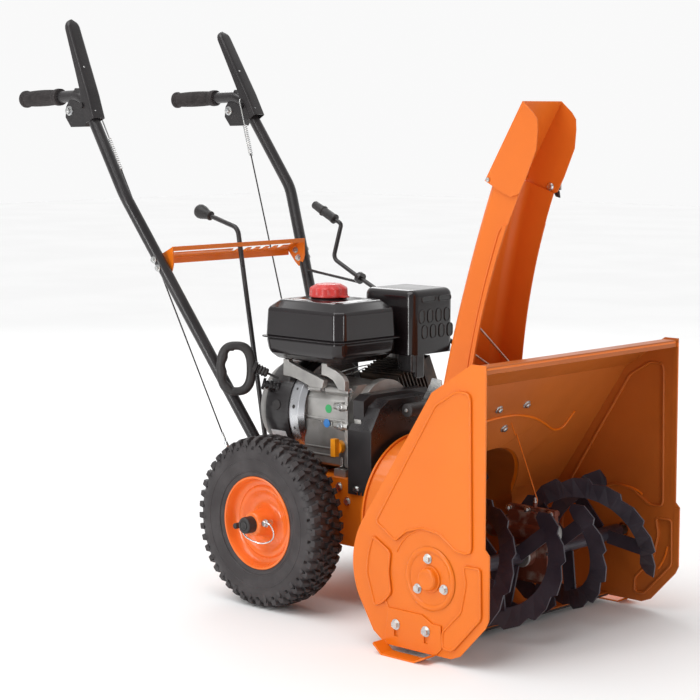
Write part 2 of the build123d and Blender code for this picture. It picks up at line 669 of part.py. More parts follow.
def handlebar():
    """Right handlebar tube."""
    tube = bent_rod(right(BAR_POINTS), BAR_BENDS, BAR_R, BAR_R - 1.8)
    x, y, z = LEVER_PIVOT
    return tube - rod((x, -y - 20, z), (x, -y + 20, z), 3.2)


def grip():
    """Right rubber grip over the end of the handlebar."""
    end = Vector(-718.5, -211.2, 968.1)
    front = Vector(-595, -217.2, 972.1)
    collar = front + (end - front).normalized() * 5
    body = rod(tuple(end), tuple(front), 15.6) + rod(tuple(front), tuple(collar), 18)
    inner_end = end + (front - end).normalized() * 6.3
    return body - rod(tuple(inner_end), tuple(front + (front - end).normalized() * 5), BAR_R + 0.3)


LEVER_LINE = [(-470, 926), (-549, 1128)]


def lever():
    """Right control lever: channel closed towards the front, on the bar's pivot."""
    (x0, z0), (x1, z1) = LEVER_LINE
    axis = Vector(x1 - x0, 0, z1 - z0)
    length = axis.length
    plane = Plane(origin=(x0, -LEVER_PIVOT[1], z0), x_dir=axis, z_dir=(0, -1, 0))
    outer = [(0, -10), (60, -12), (length - 10, -8), (length, -2), (length, 4), (70, 9), (52, 16),
             (0, 16)]
    profile = make_face(FilletPolyline(*outer, radius=3, close=True))
    body = extrude(plane * profile, amount=16, both=True)
    ear = Plane(origin=(LEVER_PIVOT[0], -LEVER_PIVOT[1], LEVER_PIVOT[2]), z_dir=(0, 1, 0)) * Circle(13)
    body += extrude(ear, amount=16, both=True)
    inside = [(-10, -8), (60, -10), (length - 10, -6), (length - 3, 0), (length - 3, 30), (-10, 60)]
    hollow = make_face(Polyline(*inside, close=True))
    body -= extrude(plane * hollow, amount=14.2, both=True)
    x, y, z = LEVER_PIVOT
    return body - rod((x, -y - 30, z), (x, -y + 30, z), 3.06)


def lever_bracket():
    """Right lever pivot bolt and the safety-link plate under the bar."""
    x, y, z = LEVER_PIVOT
    pin = rod((x, -y - 16.4, z), (x, -y + 16.4, z), 3)
    pin += rod((x, -y - 16.4, z), (x, -y - 20, z), 6) + rod((x, -y + 16.4, z), (x, -y + 20, z), 6)
    link = [(-530, 990), (-559, 953), (-562, 931), (-545, 911), (-500, 912), (-488, 932), (-505, 966)]
    bar = bent_rod(right(BAR_POINTS), BAR_BENDS, BAR_R + 0.2)
    return pin + (slab(link, -y - 7, -y + 7) - bar)


def cable(top, spring_from, spring_to, side):
    """Clutch cable held straight: wire, return spring and the sleeve at the frame."""
    top = Vector(*top)
    line = (Vector(-203, side * 118, 277) - top).normalized()
    low = top + line * ((top.Z - 238.2) / -line.Z)
    upper, lower = top + line * spring_from, top + line * spring_to
    wire = rod(tuple(top), tuple(low), 1.4)
    coil = rod(tuple(upper), tuple(lower), 4.5)
    fitting = rod(tuple(low - line * 66), tuple(low), 3.2)
    clear = block(-230, -150, -140, 140, 230, 246.2)
    return wire + coil + fitting - clear


def gate_panel():
    """Gear gate facing the operator: slotted plate, two flanges and two ears."""
    (xf, zf), (xr, zr) = GATE_FRONT, GATE_REAR
    plate = slab([(xf, zf), (xr, zr), (xr, zr - 2.5), (xf, zf - 2.5)], -GATE_HALF, GATE_HALF)
    front = slab([(xf, zf), (xf - 2.5, zf), (xf - 2.5, zf - 9), (xf, zf - 9)], -GATE_HALF, GATE_HALF)
    rear = slab([(xr, zr), (xr + 2.5, zr), (xr + 2.5, zr - 14), (xr, zr - 14)], -GATE_HALF, GATE_HALF)
    body = plate + front + rear
    body -= block(-313, -292.5, -172, 168, 640, 690)
    for y in [-172] + [6 + 26 * k for k in range(6)]:
        body -= block(-325, -311, y, y + 14, 650, 690)
    outline = [(-284, 676), (-283, 640), (-290, 620), (-300, 616), (-310, 624), (-335, 652)]
    ears = slab(outline, -GATE_HALF, -GATE_HALF + SHEET)
    body += ears + to_left(ears)
    for side in (-1, 1):
        straight = [(x, side * y, z) for x, y, z in BAR_POINTS[1:3]]
        body -= rod(*straight, BAR_R + 0.2)
    return body


def shift_lever():
    """Gear lever rod, from its cross pivot on the frame up through the gate."""
    x, y, z = SHIFT_PIVOT
    path = [(x, y, z), (-306, y, 704), (-392, y, 727)]
    hub = rod((x - 12, y, z), (x + 16, y, z), 9)
    return bent_rod(path, 22, 5) + hub - rod((x - 20, y, z), (x + 20, y, z), 4.06)


def shift_knob():
    """Pear-shaped knob of the gear lever."""
    ball = Pos(-416, 12, 733.4) * Sphere(15)
    neck = Plane(origin=(-414, 12, 732.9), z_dir=(0.966, 0, -0.257)) * Cone(13, 7.5, 30, align=LOW)
    hole = rod((-410, 12, 731.8), (-370, 12, 721.2), 5.2)
    return ball + neck - hole


CRANK_R = 4.5
CRANK_PATH = [(-206, 200, 717), (-190, 200, 709), (-213, 200, 636), (-156, 200, 608), (276, 196, 416)]


def crank_rod():
    """Chute crank: bent handle end and the long shaft into the gear head."""
    return bent_rod(CRANK_PATH, [7, 14, 14], CRANK_R)


def crank_grip():
    """Turning grip of the chute crank."""
    start, end = Vector(-270, 200, 748), Vector(-207, 200, 717.5)
    mid = start + (end - start) * 0.45
    body = rod(tuple(start), tuple(end), 9)
    return body + rod(tuple(mid), tuple(mid + (end - start) * 0.1), 11)


def crank_bracket():
    """Stay from the left handlebar with the eye that guides the chute crank."""
    line = (Vector(*CRANK_PATH[4]) - Vector(*CRANK_PATH[3])).normalized()
    centre = Vector(*CRANK_PATH[3]) + line * 22
    eye = rod(tuple(centre - line * 5), tuple(centre + line * 5), 12)
    stay = rod((-268, 180, 610), tuple(centre + Vector(-2, 0, -9)), 3)
    body = eye + stay - rod(tuple(centre - line * 20), tuple(centre + line * 20), CRANK_R + 0.06)
    (x0, y0, z0), (x1, y1, z1) = BAR_POINTS[1:3]
    return body - rod((x0, y0, z0), (x1, y1, z1), BAR_R)


def gear_head():
    """Closed drive head beside the ring, on a leg from the drum; it turns the chute."""
    (x0, y0, z0), (x1, y1, z1) = CRANK_PATH[-2:]
    head = chamfer(block(256, 298, 92, 214, 392, 438).edges(), 6)
    leg = block(262, 268, 96, 124, 285, 394) - rod((DRUM_X, 0, DRUM_Z), (440, 0, DRUM_Z), DRUM_R)
    return head + leg - rod((x0, y0, z0), (x1, y1, z1), CRANK_R + 0.06)


# ---------------------------------------------------------------- chute
def chute_ring():
    """Turning flange on the neck with the toothed rim the worm drives."""
    z = RING_Z + 0.1
    ring = sleeve((CHUTE_X, 0, z), (CHUTE_X, 0, z + 3), 86, NECK_R - 2.5)
    ring += sleeve((CHUTE_X, 0, z - 9), (CHUTE_X, 0, z + 3), 86, 83)
    for k in range(36):
        angle = k * pi / 18
        x, y = CHUTE_X + 85 * cos(angle), 85 * sin(angle)
        ring -= rod((x, y, z - 10), (x, y, z - 1), 3)
    return ring


def chute_front(shift):
    """Front edge of the chute seen from the side, moved in X by a shift."""
    return ThreePointArc((484 + shift, 0, 797), (420 + shift, 0, 600), (390 + shift, 0, CHUTE_FOOT_Z))


def chute_profile(rear_shift=0.0, front_shift=0.0):
    """Side outline of the chute; shifts move the rear and the front edge in X."""
    r, f = rear_shift, front_shift
    rear = ThreePointArc((311 + r, 0, CHUTE_FOOT_Z), (350 + r, 0, 590), (415 + r, 0, 820))
    top = Line((415 + r, 0, 820), (484 + f, 0, 797))
    bottom = Line((390 + f, 0, CHUTE_FOOT_Z), (311 + r, 0, CHUTE_FOOT_Z))
    return make_face(Wire([*rear.edges(), *top.edges(), *chute_front(f).edges(), *bottom.edges()]))


def chute_taper(grow=0.0):
    """Wedge that narrows the chute towards its top."""
    foot, top = CHUTE_FOOT_HALF + grow, CHUTE_TOP_HALF + grow
    rise = 10.0
    top -= rise * (foot - top) / (CHUTE_TOP_Z - CHUTE_FOOT_Z)
    high = CHUTE_TOP_Z + rise
    corners = [(-foot, CHUTE_FOOT_Z), (foot, CHUTE_FOOT_Z), (top, high), (-top, high)]
    return cross_slab(corners, 250, 600)


def rear_corners(body):
    """The two long rear corner edges of a chute block."""
    found = []
    for edge in body.edges():
        middle = edge.center()
        if 330 < middle.X < 372 and 560 < middle.Z < 640 and edge.length > 300:
            found.append(edge)
    return found


def chute():
    """Lower chute: leaning, tapered channel, open in front, with beaded front edges."""
    t = CHUTE_SHEET
    outer = extrude(chute_profile(), amount=90, both=True) & chute_taper()
    outer = fillet(rear_corners(outer), 20)
    core = extrude(chute_profile(t, 40), amount=90, both=True) & chute_taper(-t)
    core = fillet(rear_corners(core), 20 - t)
    outside, inside = chute_front(-1), chute_front(-10)
    ends = Polyline(inside @ 0, outside @ 0).edges() + Polyline(inside @ 1, outside @ 1).edges()
    strip = make_face(Wire([*outside.edges(), *inside.edges(), *ends]))
    bead = extrude(strip, amount=90, both=True) & chute_taper(2.2) & block(300, 600, -90, 90, 400, 742)
    return outer - core + (bead - chute_taper(-0.5))


def chute_guard():
    """Thin guard wires across the foot of the chute."""
    upper = rod((398, -61.5, 561.5), (398, 65.5, 457.5), 2)
    lower = rod((384, -64, 512.6), (384, 68.5, 439.9), 2)
    return [upper, lower]


HOOD_SIDE = [(410, 820), (494, 961), (518, 941), (527, 929), (528, 910), (525, 877), (503, 827),
             (488, 799), (470, 793), (449, 800)]


def chute_hood():
    """Upper deflector: back wall and two cheeks over the top of the chute."""
    h, t = HOOD_HALF, CHUTE_SHEET
    body = slab(HOOD_SIDE, -h, h)
    inner = [(412.1, 819), (418, 808), (470, 780), (560, 780), (560, 985), (506.7, 978)]
    cavity = slab(inner, -h + t, h - t)
    return body - cavity


def hood_pins():
    """Pivot rivets on both cheeks of the deflector, and the wing nut on the left one."""
    y = HOOD_HALF
    x, z = HOOD_PIVOT
    rivet = rod((x, -y, z), (x, -y - 2.5, z), 4)
    wing = rod((472, y, 808), (472, y + 8, 808), 5) + block(456, 488, y + 8, y + 11, 802, 814)
    return both_sides(rivet) + [wing]


# ---------------------------------------------------------------- fasteners
def static_bolts():
    """Every bolt head that stays with the chassis."""
    heads = []
    for side in (-1, 1):
        out = (0, side, 0)
        for k in range(3):
            angle = radians(97.5 + 120 * k)
            x, z = AUGER_X + 35 * cos(angle), AUGER_Z + 35 * sin(angle)
            heads.append(bolt((x, side * (SIDE_Y + 1.5), z), out, 6.5, 5))
        for x in (406, 475.5):
            heads.append(bolt((x, side * (SIDE_Y + 3), 51.5), out, 7, 5))
        for x, z in ((96, 231), (117, 205)):
            heads.append(bolt((x, side * FRAME_Y, z), out, 6, 4))
        heads.append(bolt((146, side * 110, 233), out, 5, 4))
        for x, z in ((-309, 650), (-301, 634)):
            heads.append(bolt((x, side * (GATE_HALF - SHEET), z), (0, -side, 0), 5, 4))
    for x, z in ((-5, 262), (90, 262)):
        heads.append(bolt((x, -90, z), (0, 0, 1), 5, 4))
    return heads


# ---------------------------------------------------------------- write every node
def write_all():
    """Build and write each node once."""
    save("side_plate_right", side_plate())
    save("side_plate_left", to_left(side_plate()))
    save("housing_wrap", housing_wrap())
    save("impeller_drum", impeller_drum())
    save("scraper_bar", scraper_bar())
    save("skid_right", skid())
    save("skid_left", to_left(skid()))
    save("auger_bearings", both_sides(auger_bearing()))
    save("auger_shaft", auger_shaft())
    save("auger_right", auger())
    save("auger_left", to_left(auger()))
    save("gearbox", gearbox())
    save("worm_wheel", worm_wheel())
    save("impeller_shaft", impeller_shaft())
    save("impeller", impeller())
    save("auger_pulley", pulley(164, 180, DRUM_Z, AUGER_PULLEY_R, SHAFT_R + 0.02))
    save("frame", frame())
    save("axle", axle())
    save("rim_right", rim())
    save("rim_left", to_left(rim()))
    save("tyre_right", tyre())
    save("tyre_left", to_left(tyre()))
    save("wheel_pins", wheel_pin(), [to_left(p) for p in wheel_pin()])
    save("drive_disc", drive_disc())
    save("crankcase", crankcase())
    save("cylinder", cylinder())
    save("fan_housing", fan_housing())
    save("shroud_plate", shroud_plate())
    save("recoil_cover", recoil_cover())
    save("pull_handle", pull_handle())
    save("fuel_tank", fuel_tank())
    save("fuel_cap", fuel_cap())
    save("tank_brackets", tank_brackets())
    save("muffler", muffler())
    save("muffler_shield", muffler_shield())
    save("carb_cover", carb_cover())
    save("oil_plug", oil_plug())
    save("crank_pulley", crank_pulley())
    save("belts", belt(168, 176, AUGER_PULLEY_R), belt(134, 142, DRIVE_PULLEY_R))
    save("belt_cover", belt_cover())
    save("handlebar_right", handlebar())
    save("handlebar_left", to_left(handlebar()))
    save("grips", both_sides(grip()))
    save("lever_right", lever())
    x, y, z = LEVER_PIVOT
    leaned = Pos(x, y, z) * Rot(0, -LEFT_LEVER_LEAN, 0) * Pos(-x, -y, -z) * to_left(lever())
    save("lever_left", leaned)
    save("lever_brackets", lever_bracket(), [to_left(p) for p in lever_bracket()])
    save("cables", cable((-476, -203, 925), 40, 110, -1), cable((-498, 200, 967), 59, 129, 1))
    save("gate_panel", gate_panel())
    save("shift_lever", shift_lever())
    save("shift_knob", shift_knob())
    save("crank_rod", crank_rod())
    save("crank_grip", crank_grip())
    save("crank_bracket", crank_bracket())
    save("chute_gear_head", gear_head())
    save("chute_ring", chute_ring())
    save("chute", chute())
    save("chute_guard", chute_guard())
    save("chute_hood", chute_hood())
    save("hood_pins", hood_pins())
    save("bolts", static_bolts())


write_all()
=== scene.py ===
"""Looks of the snow blower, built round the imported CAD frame.

Metres, +X forward to the auger, +Y to the operator's left, +Z up.
"""
from math import cos, pi, radians, sin

import bpy
from mathutils import Matrix, Vector


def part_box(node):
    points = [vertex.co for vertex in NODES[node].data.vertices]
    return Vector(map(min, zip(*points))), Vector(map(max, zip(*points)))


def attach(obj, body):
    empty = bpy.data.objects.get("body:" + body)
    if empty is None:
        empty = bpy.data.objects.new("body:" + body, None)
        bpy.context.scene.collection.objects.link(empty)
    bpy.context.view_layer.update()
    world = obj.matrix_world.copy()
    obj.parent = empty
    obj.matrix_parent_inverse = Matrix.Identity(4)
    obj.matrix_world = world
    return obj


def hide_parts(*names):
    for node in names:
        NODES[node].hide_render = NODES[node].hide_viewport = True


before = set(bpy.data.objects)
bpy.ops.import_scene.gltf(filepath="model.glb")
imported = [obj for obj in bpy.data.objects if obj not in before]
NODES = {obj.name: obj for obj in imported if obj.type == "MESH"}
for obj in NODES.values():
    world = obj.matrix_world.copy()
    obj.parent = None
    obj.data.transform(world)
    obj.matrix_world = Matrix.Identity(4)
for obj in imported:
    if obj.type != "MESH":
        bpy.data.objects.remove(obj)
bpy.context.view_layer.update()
SIGN = {"right": -1, "left": 1}    # which way each side lies along Y
AXLE_X, AXLE_Z = 0.054, 0.165      # the wheel axle, in metres

# places of the CAD model in millimetres, X from the wheel axle
AUGER_X, AUGER_Z = 483, 145
SIDE_Y = 281.0                     # outer face of each side plate
DRUM_Z = 185
CRANK_Z = 358                      # height of the engine shaft
CASE_Y = -84                       # near side of the crankcase
BLOWER_R = 105.0                   # blower housing


def at(x, y, z):
    """Point given in millimetres from the wheel axle's X, the middle and the ground."""
    return Vector((AXLE_X + x / 1000, y / 1000, z / 1000))


def around(count):
    """Angles of one full turn in equal steps."""
    return [2 * pi * k / count for k in range(count)]


def middle(node):
    """Centre of a CAD node's box."""
    low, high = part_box(node)
    return (Vector(low) + Vector(high)) / 2


# ---------------------------------------------------------------- materials
def new_material(name, colour, rough, metallic=0.0, coat=0.0, specular=0.5):
    """Principled material with its even values on the shader's own sockets."""
    mat = bpy.data.materials.new(name)
    mat.use_nodes = True
    shader = mat.node_tree.nodes["Principled BSDF"]
    shader.inputs["Base Color"].default_value = (*colour, 1)
    shader.inputs["Roughness"].default_value = rough
    shader.inputs["Metallic"].default_value = metallic
    shader.inputs["Coat Weight"].default_value = coat
    shader.inputs["Coat Roughness"].default_value = 0.12
    shader.inputs["Specular IOR Level"].default_value = specular
    return mat


def noise(mat, scale, detail=4.0):
    """Noise over the object's own space, per metre."""
    tree = mat.node_tree
    place = tree.nodes.new("ShaderNodeTexCoord")
    pattern = tree.nodes.new("ShaderNodeTexNoise")
    pattern.inputs["Scale"].default_value = scale
    pattern.inputs["Detail"].default_value = detail
    tree.links.new(place.outputs["Object"], pattern.inputs["Vector"])
    return pattern.outputs["Fac"]


def tint(mat, colour, other, scale, low=0.4, high=0.6, detail=4.0):
    """Patches of another colour over the base colour."""
    tree = mat.node_tree
    ramp = tree.nodes.new("ShaderNodeValToRGB")
    ramp.color_ramp.elements[0].position = low
    ramp.color_ramp.elements[0].color = (*colour, 1)
    ramp.color_ramp.elements[1].position = high
    ramp.color_ramp.elements[1].color = (*other, 1)
    tree.links.new(noise(mat, scale, detail), ramp.inputs["Fac"])
    tree.links.new(ramp.outputs["Color"], tree.nodes["Principled BSDF"].inputs["Base Color"])


def rough_patches(mat, low, high, scale):
    """Roughness that wanders between two values."""
    tree = mat.node_tree
    span = tree.nodes.new("ShaderNodeMapRange")
    span.inputs["From Min"].default_value = 0.3
    span.inputs["From Max"].default_value = 0.7
    span.inputs["To Min"].default_value = low
    span.inputs["To Max"].default_value = high
    tree.links.new(noise(mat, scale), span.inputs["Value"])
    tree.links.new(span.outputs["Result"], tree.nodes["Principled BSDF"].inputs["Roughness"])


def grain(mat, scale, distance, strength=0.5, detail=3.0):
    """Fine surface relief."""
    tree = mat.node_tree
    bump = tree.nodes.new("ShaderNodeBump")
    bump.inputs["Strength"].default_value = strength
    bump.inputs["Distance"].default_value = distance
    tree.links.new(noise(mat, scale, detail), bump.inputs["Height"])
    tree.links.new(bump.outputs["Normal"], tree.nodes["Principled BSDF"].inputs["Normal"])


def brushed(mat, axis_scale, distance):
    """Fine lines of a drawn or turned metal surface."""
    tree = mat.node_tree
    place = tree.nodes.new("ShaderNodeTexCoord")
    stretch = tree.nodes.new("ShaderNodeMapping")
    stretch.inputs["Scale"].default_value = axis_scale
    pattern = tree.nodes.new("ShaderNodeTexNoise")
    pattern.inputs["Scale"].default_value = 60.0
    bump = tree.nodes.new("ShaderNodeBump")
    bump.inputs["Strength"].default_value = 0.4
    bump.inputs["Distance"].default_value = distance
    tree.links.new(place.outputs["Object"], stretch.inputs["Vector"])
    tree.links.new(stretch.outputs["Vector"], pattern.inputs["Vector"])
    tree.links.new(pattern.outputs["Fac"], bump.inputs["Height"])
    tree.links.new(bump.outputs["Normal"], tree.nodes["Principled BSDF"].inputs["Normal"])


def orange_paint():
    """Powder-coated sheet: faint orange peel and slow changes of depth."""
    colour = (0.79, 0.178, 0.008)
    mat = new_material("orange_powder_coat", colour, 0.36, coat=0.2, specular=0.3)
    tint(mat, colour, (0.71, 0.150, 0.006), 3.5, 0.35, 0.7)
    rough_patches(mat, 0.30, 0.44, 9.0)
    grain(mat, 420.0, 0.0004, 0.35)
    return mat


def shade_darkened_orange_paint():
    """Orange darkened and browned as painted shade, for the inside of the snow housing."""
    colour = (0.50, 0.125, 0.018)
    mat = new_material("housing_painted_shade_coat", colour, 0.40, specular=0.35)
    tint(mat, colour, (0.40, 0.094, 0.013), 4.5, 0.35, 0.7)
    rough_patches(mat, 0.32, 0.50, 10.0)
    grain(mat, 380.0, 0.0005, 0.4)
    return mat


def rim_paint():
    """Glossier, redder paint of the wheel rims."""
    colour = (0.86, 0.185, 0.030)
    mat = new_material("rim_gloss_paint", colour, 0.24, coat=0.3, specular=0.4)
    tint(mat, colour, (0.80, 0.150, 0.020), 14.0, 0.35, 0.7)
    rough_patches(mat, 0.18, 0.30, 25.0)
    grain(mat, 500.0, 0.0003, 0.25)
    return mat


def chute_paint():
    """The chute's paint, with slow random patches a shade darker and redder."""
    colour = (0.77, 0.172, 0.018)
    mat = new_material("chute_powder_coat", colour, 0.40, specular=0.35)
    tint(mat, colour, (0.71, 0.148, 0.013), 4.0, 0.35, 0.7)
    rough_patches(mat, 0.32, 0.46, 8.0)
    grain(mat, 420.0, 0.0004, 0.35)
    return mat


def black_paint():
    """Satin black powder coat of tubes and brackets."""
    colour = (0.016, 0.014, 0.015)
    mat = new_material("black_powder_coat", colour, 0.42, specular=0.5)
    tint(mat, colour, (0.026, 0.023, 0.024), 12.0)
    rough_patches(mat, 0.24, 0.36, 18.0)
    grain(mat, 700.0, 0.0003, 0.4)
    return mat


def auger_paint():
    """Blue-black paint of the auger blades."""
    colour = (0.026, 0.020, 0.030)
    mat = new_material("auger_slate_paint", colour, 0.40, coat=0.1)
    tint(mat, colour, (0.042, 0.034, 0.046), 16.0)
    rough_patches(mat, 0.34, 0.52, 22.0)
    grain(mat, 350.0, 0.0005, 0.4)
    return mat


def gloss_black():
    """Stove-enamelled sheet of the tank and the blower housing."""
    colour = (0.012, 0.009, 0.010)
    mat = new_material("gloss_black_enamel", colour, 0.17, coat=0.25, specular=0.4)
    tint(mat, colour, (0.014, 0.011, 0.012), 9.0)
    rough_patches(mat, 0.13, 0.20, 14.0)
    grain(mat, 90.0, 0.0001, 0.08)
    return mat


def fan_paint():
    """Satin black of the blower housing."""
    colour = (0.013, 0.011, 0.012)
    mat = new_material("blower_satin_black", colour, 0.32, coat=0.1)
    tint(mat, colour, (0.020, 0.017, 0.018), 12.0)
    rough_patches(mat, 0.27, 0.38, 16.0)
    grain(mat, 300.0, 0.0001, 0.15)
    return mat


def heat_black():
    """Heat-proof black of the exhaust guard."""
    colour = (0.014, 0.013, 0.014)
    mat = new_material("heat_proof_black", colour, 0.30, coat=0.25)
    tint(mat, colour, (0.024, 0.022, 0.022), 20.0)
    rough_patches(mat, 0.24, 0.40, 24.0)
    grain(mat, 500.0, 0.0004, 0.4)
    return mat


def black_plastic():
    """Moulded plastic with a fine eroded grain."""
    colour = (0.018, 0.016, 0.016)
    mat = new_material("black_moulded_plastic", colour, 0.48)
    tint(mat, colour, (0.026, 0.023, 0.023), 30.0)
    rough_patches(mat, 0.42, 0.56, 40.0)
    grain(mat, 1200.0, 0.0004, 0.6)
    return mat


def tyre_rubber():
    """Matt tyre rubber with mould bloom."""
    colour = (0.026, 0.021, 0.022)
    mat = new_material("tyre_rubber", colour, 0.55, specular=0.5)
    tint(mat, colour, (0.046, 0.040, 0.041), 22.0, 0.42, 0.66)
    rough_patches(mat, 0.44, 0.66, 30.0)
    grain(mat, 380.0, 0.0006, 0.5)
    return mat


def grip_foam():
    """Soft ribbed rubber of the hand grips."""
    colour = (0.026, 0.022, 0.022)
    mat = new_material("grip_rubber", colour, 0.70, specular=0.3)
    tint(mat, colour, (0.040, 0.034, 0.034), 60.0)
    grain(mat, 1500.0, 0.0007, 0.7)
    return mat


def cast_aluminium():
    """Sand-grained die casting."""
    colour = (0.50, 0.49, 0.47)
    mat = new_material("cast_aluminium", colour, 0.42, metallic=0.85)
    tint(mat, colour, (0.34, 0.33, 0.32), 26.0, 0.35, 0.75)
    rough_patches(mat, 0.36, 0.58, 40.0)
    grain(mat, 620.0, 0.0008, 0.5)
    return mat


def bright_steel():
    """Pressed, plated sheet steel with a clear sheen."""
    colour = (0.70, 0.70, 0.71)
    mat = new_material("bright_steel", colour, 0.20, metallic=1.0)
    tint(mat, colour, (0.62, 0.63, 0.66), 12.0)
    rough_patches(mat, 0.22, 0.32, 12.0)
    grain(mat, 90.0, 0.0002, 0.15)
    return mat


def zinc():
    """Zinc-plated fasteners."""
    colour = (0.66, 0.66, 0.64)
    mat = new_material("zinc_plate", colour, 0.30, metallic=1.0)
    tint(mat, colour, (0.52, 0.53, 0.54), 90.0)
    rough_patches(mat, 0.22, 0.40, 120.0)
    grain(mat, 900.0, 0.0002, 0.4)
    return mat


def machined_steel():
    """Turned shafts."""
    mat = new_material("machined_steel", (0.42, 0.42, 0.43), 0.34, metallic=1.0)
    tint(mat, (0.42, 0.42, 0.43), (0.32, 0.32, 0.33), 40.0)
    brushed(mat, (1.0, 14.0, 1.0), 0.0003)
    return mat


def gearbox_iron():
    """Cast iron under thin oxide-red primer, with bare spots."""
    colour = (0.150, 0.036, 0.018)
    mat = new_material("primed_cast_iron", colour, 0.48, metallic=0.15)
    tint(mat, colour, (0.27, 0.19, 0.16), 38.0, 0.52, 0.66)
    rough_patches(mat, 0.38, 0.62, 50.0)
    grain(mat, 380.0, 0.0012, 0.6)
    return mat


def cap_red():
    """Red plastic of the fuel cap."""
    colour = (0.64, 0.045, 0.040)
    mat = new_material("cap_red_plastic", colour, 0.30, coat=0.1)
    tint(mat, colour, (0.56, 0.034, 0.030), 45.0)
    rough_patches(mat, 0.24, 0.38, 60.0)
    grain(mat, 900.0, 0.0003, 0.4)
    return mat


def plug_yellow():
    """Amber plastic of the oil filler plug."""
    colour = (0.86, 0.33, 0.012)
    mat = new_material("plug_amber_plastic", colour, 0.34)
    tint(mat, colour, (0.78, 0.27, 0.010), 60.0)
    grain(mat, 900.0, 0.0003, 0.4)
    return mat


def bronze():
    """Worm wheel bronze."""
    mat = new_material("gear_bronze", (0.55, 0.34, 0.13), 0.36, metallic=1.0)
    tint(mat, (0.55, 0.34, 0.13), (0.42, 0.25, 0.10), 60.0)
    grain(mat, 500.0, 0.0004, 0.4)
    return mat


def fin_metal():
    """Dark cast fins of the engine's cylinder."""
    colour = (0.060, 0.052, 0.048)
    mat = new_material("dark_cast_fins", colour, 0.58, metallic=0.3)
    tint(mat, colour, (0.11, 0.085, 0.065), 30.0)
    grain(mat, 500.0, 0.0008, 0.5)
    return mat


def cover_silver():
    """Dull silver paint of the starter cover and the lower castings."""
    colour = (0.27, 0.26, 0.25)
    mat = new_material("dull_silver_paint", colour, 0.45, metallic=0.5)
    tint(mat, colour, (0.20, 0.19, 0.18), 24.0)
    rough_patches(mat, 0.38, 0.55, 30.0)
    grain(mat, 600.0, 0.0005, 0.4)
    return mat


def label_or_shade_paint(name, colour):
    """Plain printed label with no lettering; also the near-black painted shade in the guard's slots."""
    mat = new_material(name, colour, 0.35, coat=0.3)
    tint(mat, colour, tuple(c * 0.86 for c in colour), 120.0)
    return mat


ORANGE = orange_paint()
RIM = rim_paint()
CHUTE = chute_paint()
BLACK = black_paint()
SLATE = auger_paint()
ENAMEL = gloss_black()
HEAT = heat_black()
PLASTIC = black_plastic()
TYRE = tyre_rubber()
GRIP = grip_foam()
CAST = cast_aluminium()
BRIGHT = bright_steel()
ZINC = zinc()
STEEL = machined_steel()
IRON = gearbox_iron()
RED = cap_red()
AMBER = plug_yellow()
BRONZE = bronze()
FINS = fin_metal()
SHADE_ORANGE = shade_darkened_orange_paint()
FAN = fan_paint()
SILVER = cover_silver()


# ---------------------------------------------------------------- mesh building
def link(obj):
    """Put an object in the scene."""
    bpy.context.scene.collection.objects.link(obj)
    return obj


def frame_along(axis):
    """Rotation whose Z runs along an axis."""
    return Vector(axis).normalized().to_track_quat("Z", "Y").to_matrix()


class Shape:
    """Collects the faces of one piece."""

    def __init__(self):
        self.verts = []
        self.faces = []

    def add(self, verts, faces):
        start = len(self.verts)
        self.verts += [tuple(v) for v in verts]
        self.faces += [tuple(start + i for i in face) for face in faces]

    def loft(self, rings, close=False, caps=True):
        """Skin through rings of equal point count."""
        count = len(rings[0])
        faces = []
        last = len(rings) if close else len(rings) - 1
        for i in range(last):
            a, b = i * count, (i + 1) % len(rings) * count
            for k in range(count):
                m = (k + 1) % count
                faces.append((a + k, a + m, b + m, b + k))
        if caps and not close:
            faces.append(tuple(reversed(range(count))))
            faces.append(tuple(range((len(rings) - 1) * count, len(rings) * count)))
        self.add([p for ring in rings for p in ring], faces)

    def lathe(self, start, axis, profile, segments=40, caps=True):
        """Turned form: profile is a list of (distance along the axis, radius)."""
        turn = frame_along(axis)
        start = Vector(start)
        rings = []
        for along, radius in profile:
            rings.append([start + turn @ Vector((radius * cos(angle), radius * sin(angle), along))
                          for angle in around(segments)])
        self.loft(rings, caps=caps)

    def block(self, low, high):
        """Box between two corners."""
        (x0, y0, z0), (x1, y1, z1) = low, high
        plan = ((x0, y0), (x1, y0), (x1, y1), (x0, y1))
        self.loft([[Vector((x, y, z)) for x, y in plan] for z in (z0, z1)])

    def hex_bolt(self, seat, direction, size=0.0055, height=0.0045):
        """Flanged hexagon head with a domed, chamfered top."""
        direction = Vector(direction).normalized()
        self.lathe(seat, direction, [(0, size * 1.5), (0.0010, size * 1.45), (0.0016, size * 1.1)], 24)
        top = Vector(seat) + direction * 0.0012
        self.lathe(top, direction, [(0, size), (height * 0.8, size), (height, size * 0.82)], 6)
        dome = top + direction * height
        crown = [(-0.0002, size * 0.6), (0.0005, size * 0.45), (0.0007, size * 0.1)]
        self.lathe(dome, direction, crown, 16)

    def build(self, name, mat, body, bevel=0.0, stands_for=(), slot=None, sharp=32):
        """Turn the faces into an object that rides on a CAD body."""
        mesh = bpy.data.meshes.new(name)
        mesh.from_pydata(self.verts, [], self.faces)
        mesh.validate()
        mesh.materials.append(mat)
        mesh.shade_smooth()
        mesh.set_sharp_from_angle(angle=radians(sharp))
        obj = link(bpy.data.objects.new(name, mesh))
        if bevel:
            round_edges(obj, bevel)
        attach(obj, body)
        if stands_for:
            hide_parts(*stands_for)
        return obj


def round_edges(obj, width, segments=2):
    """Small rounding on every sharp edge."""
    bevel = obj.modifiers.new("edge", "BEVEL")
    bevel.width = width
    bevel.segments = segments
    bevel.limit_method = "ANGLE"
    bevel.angle_limit = radians(34)
    bevel.harden_normals = True
    return bevel


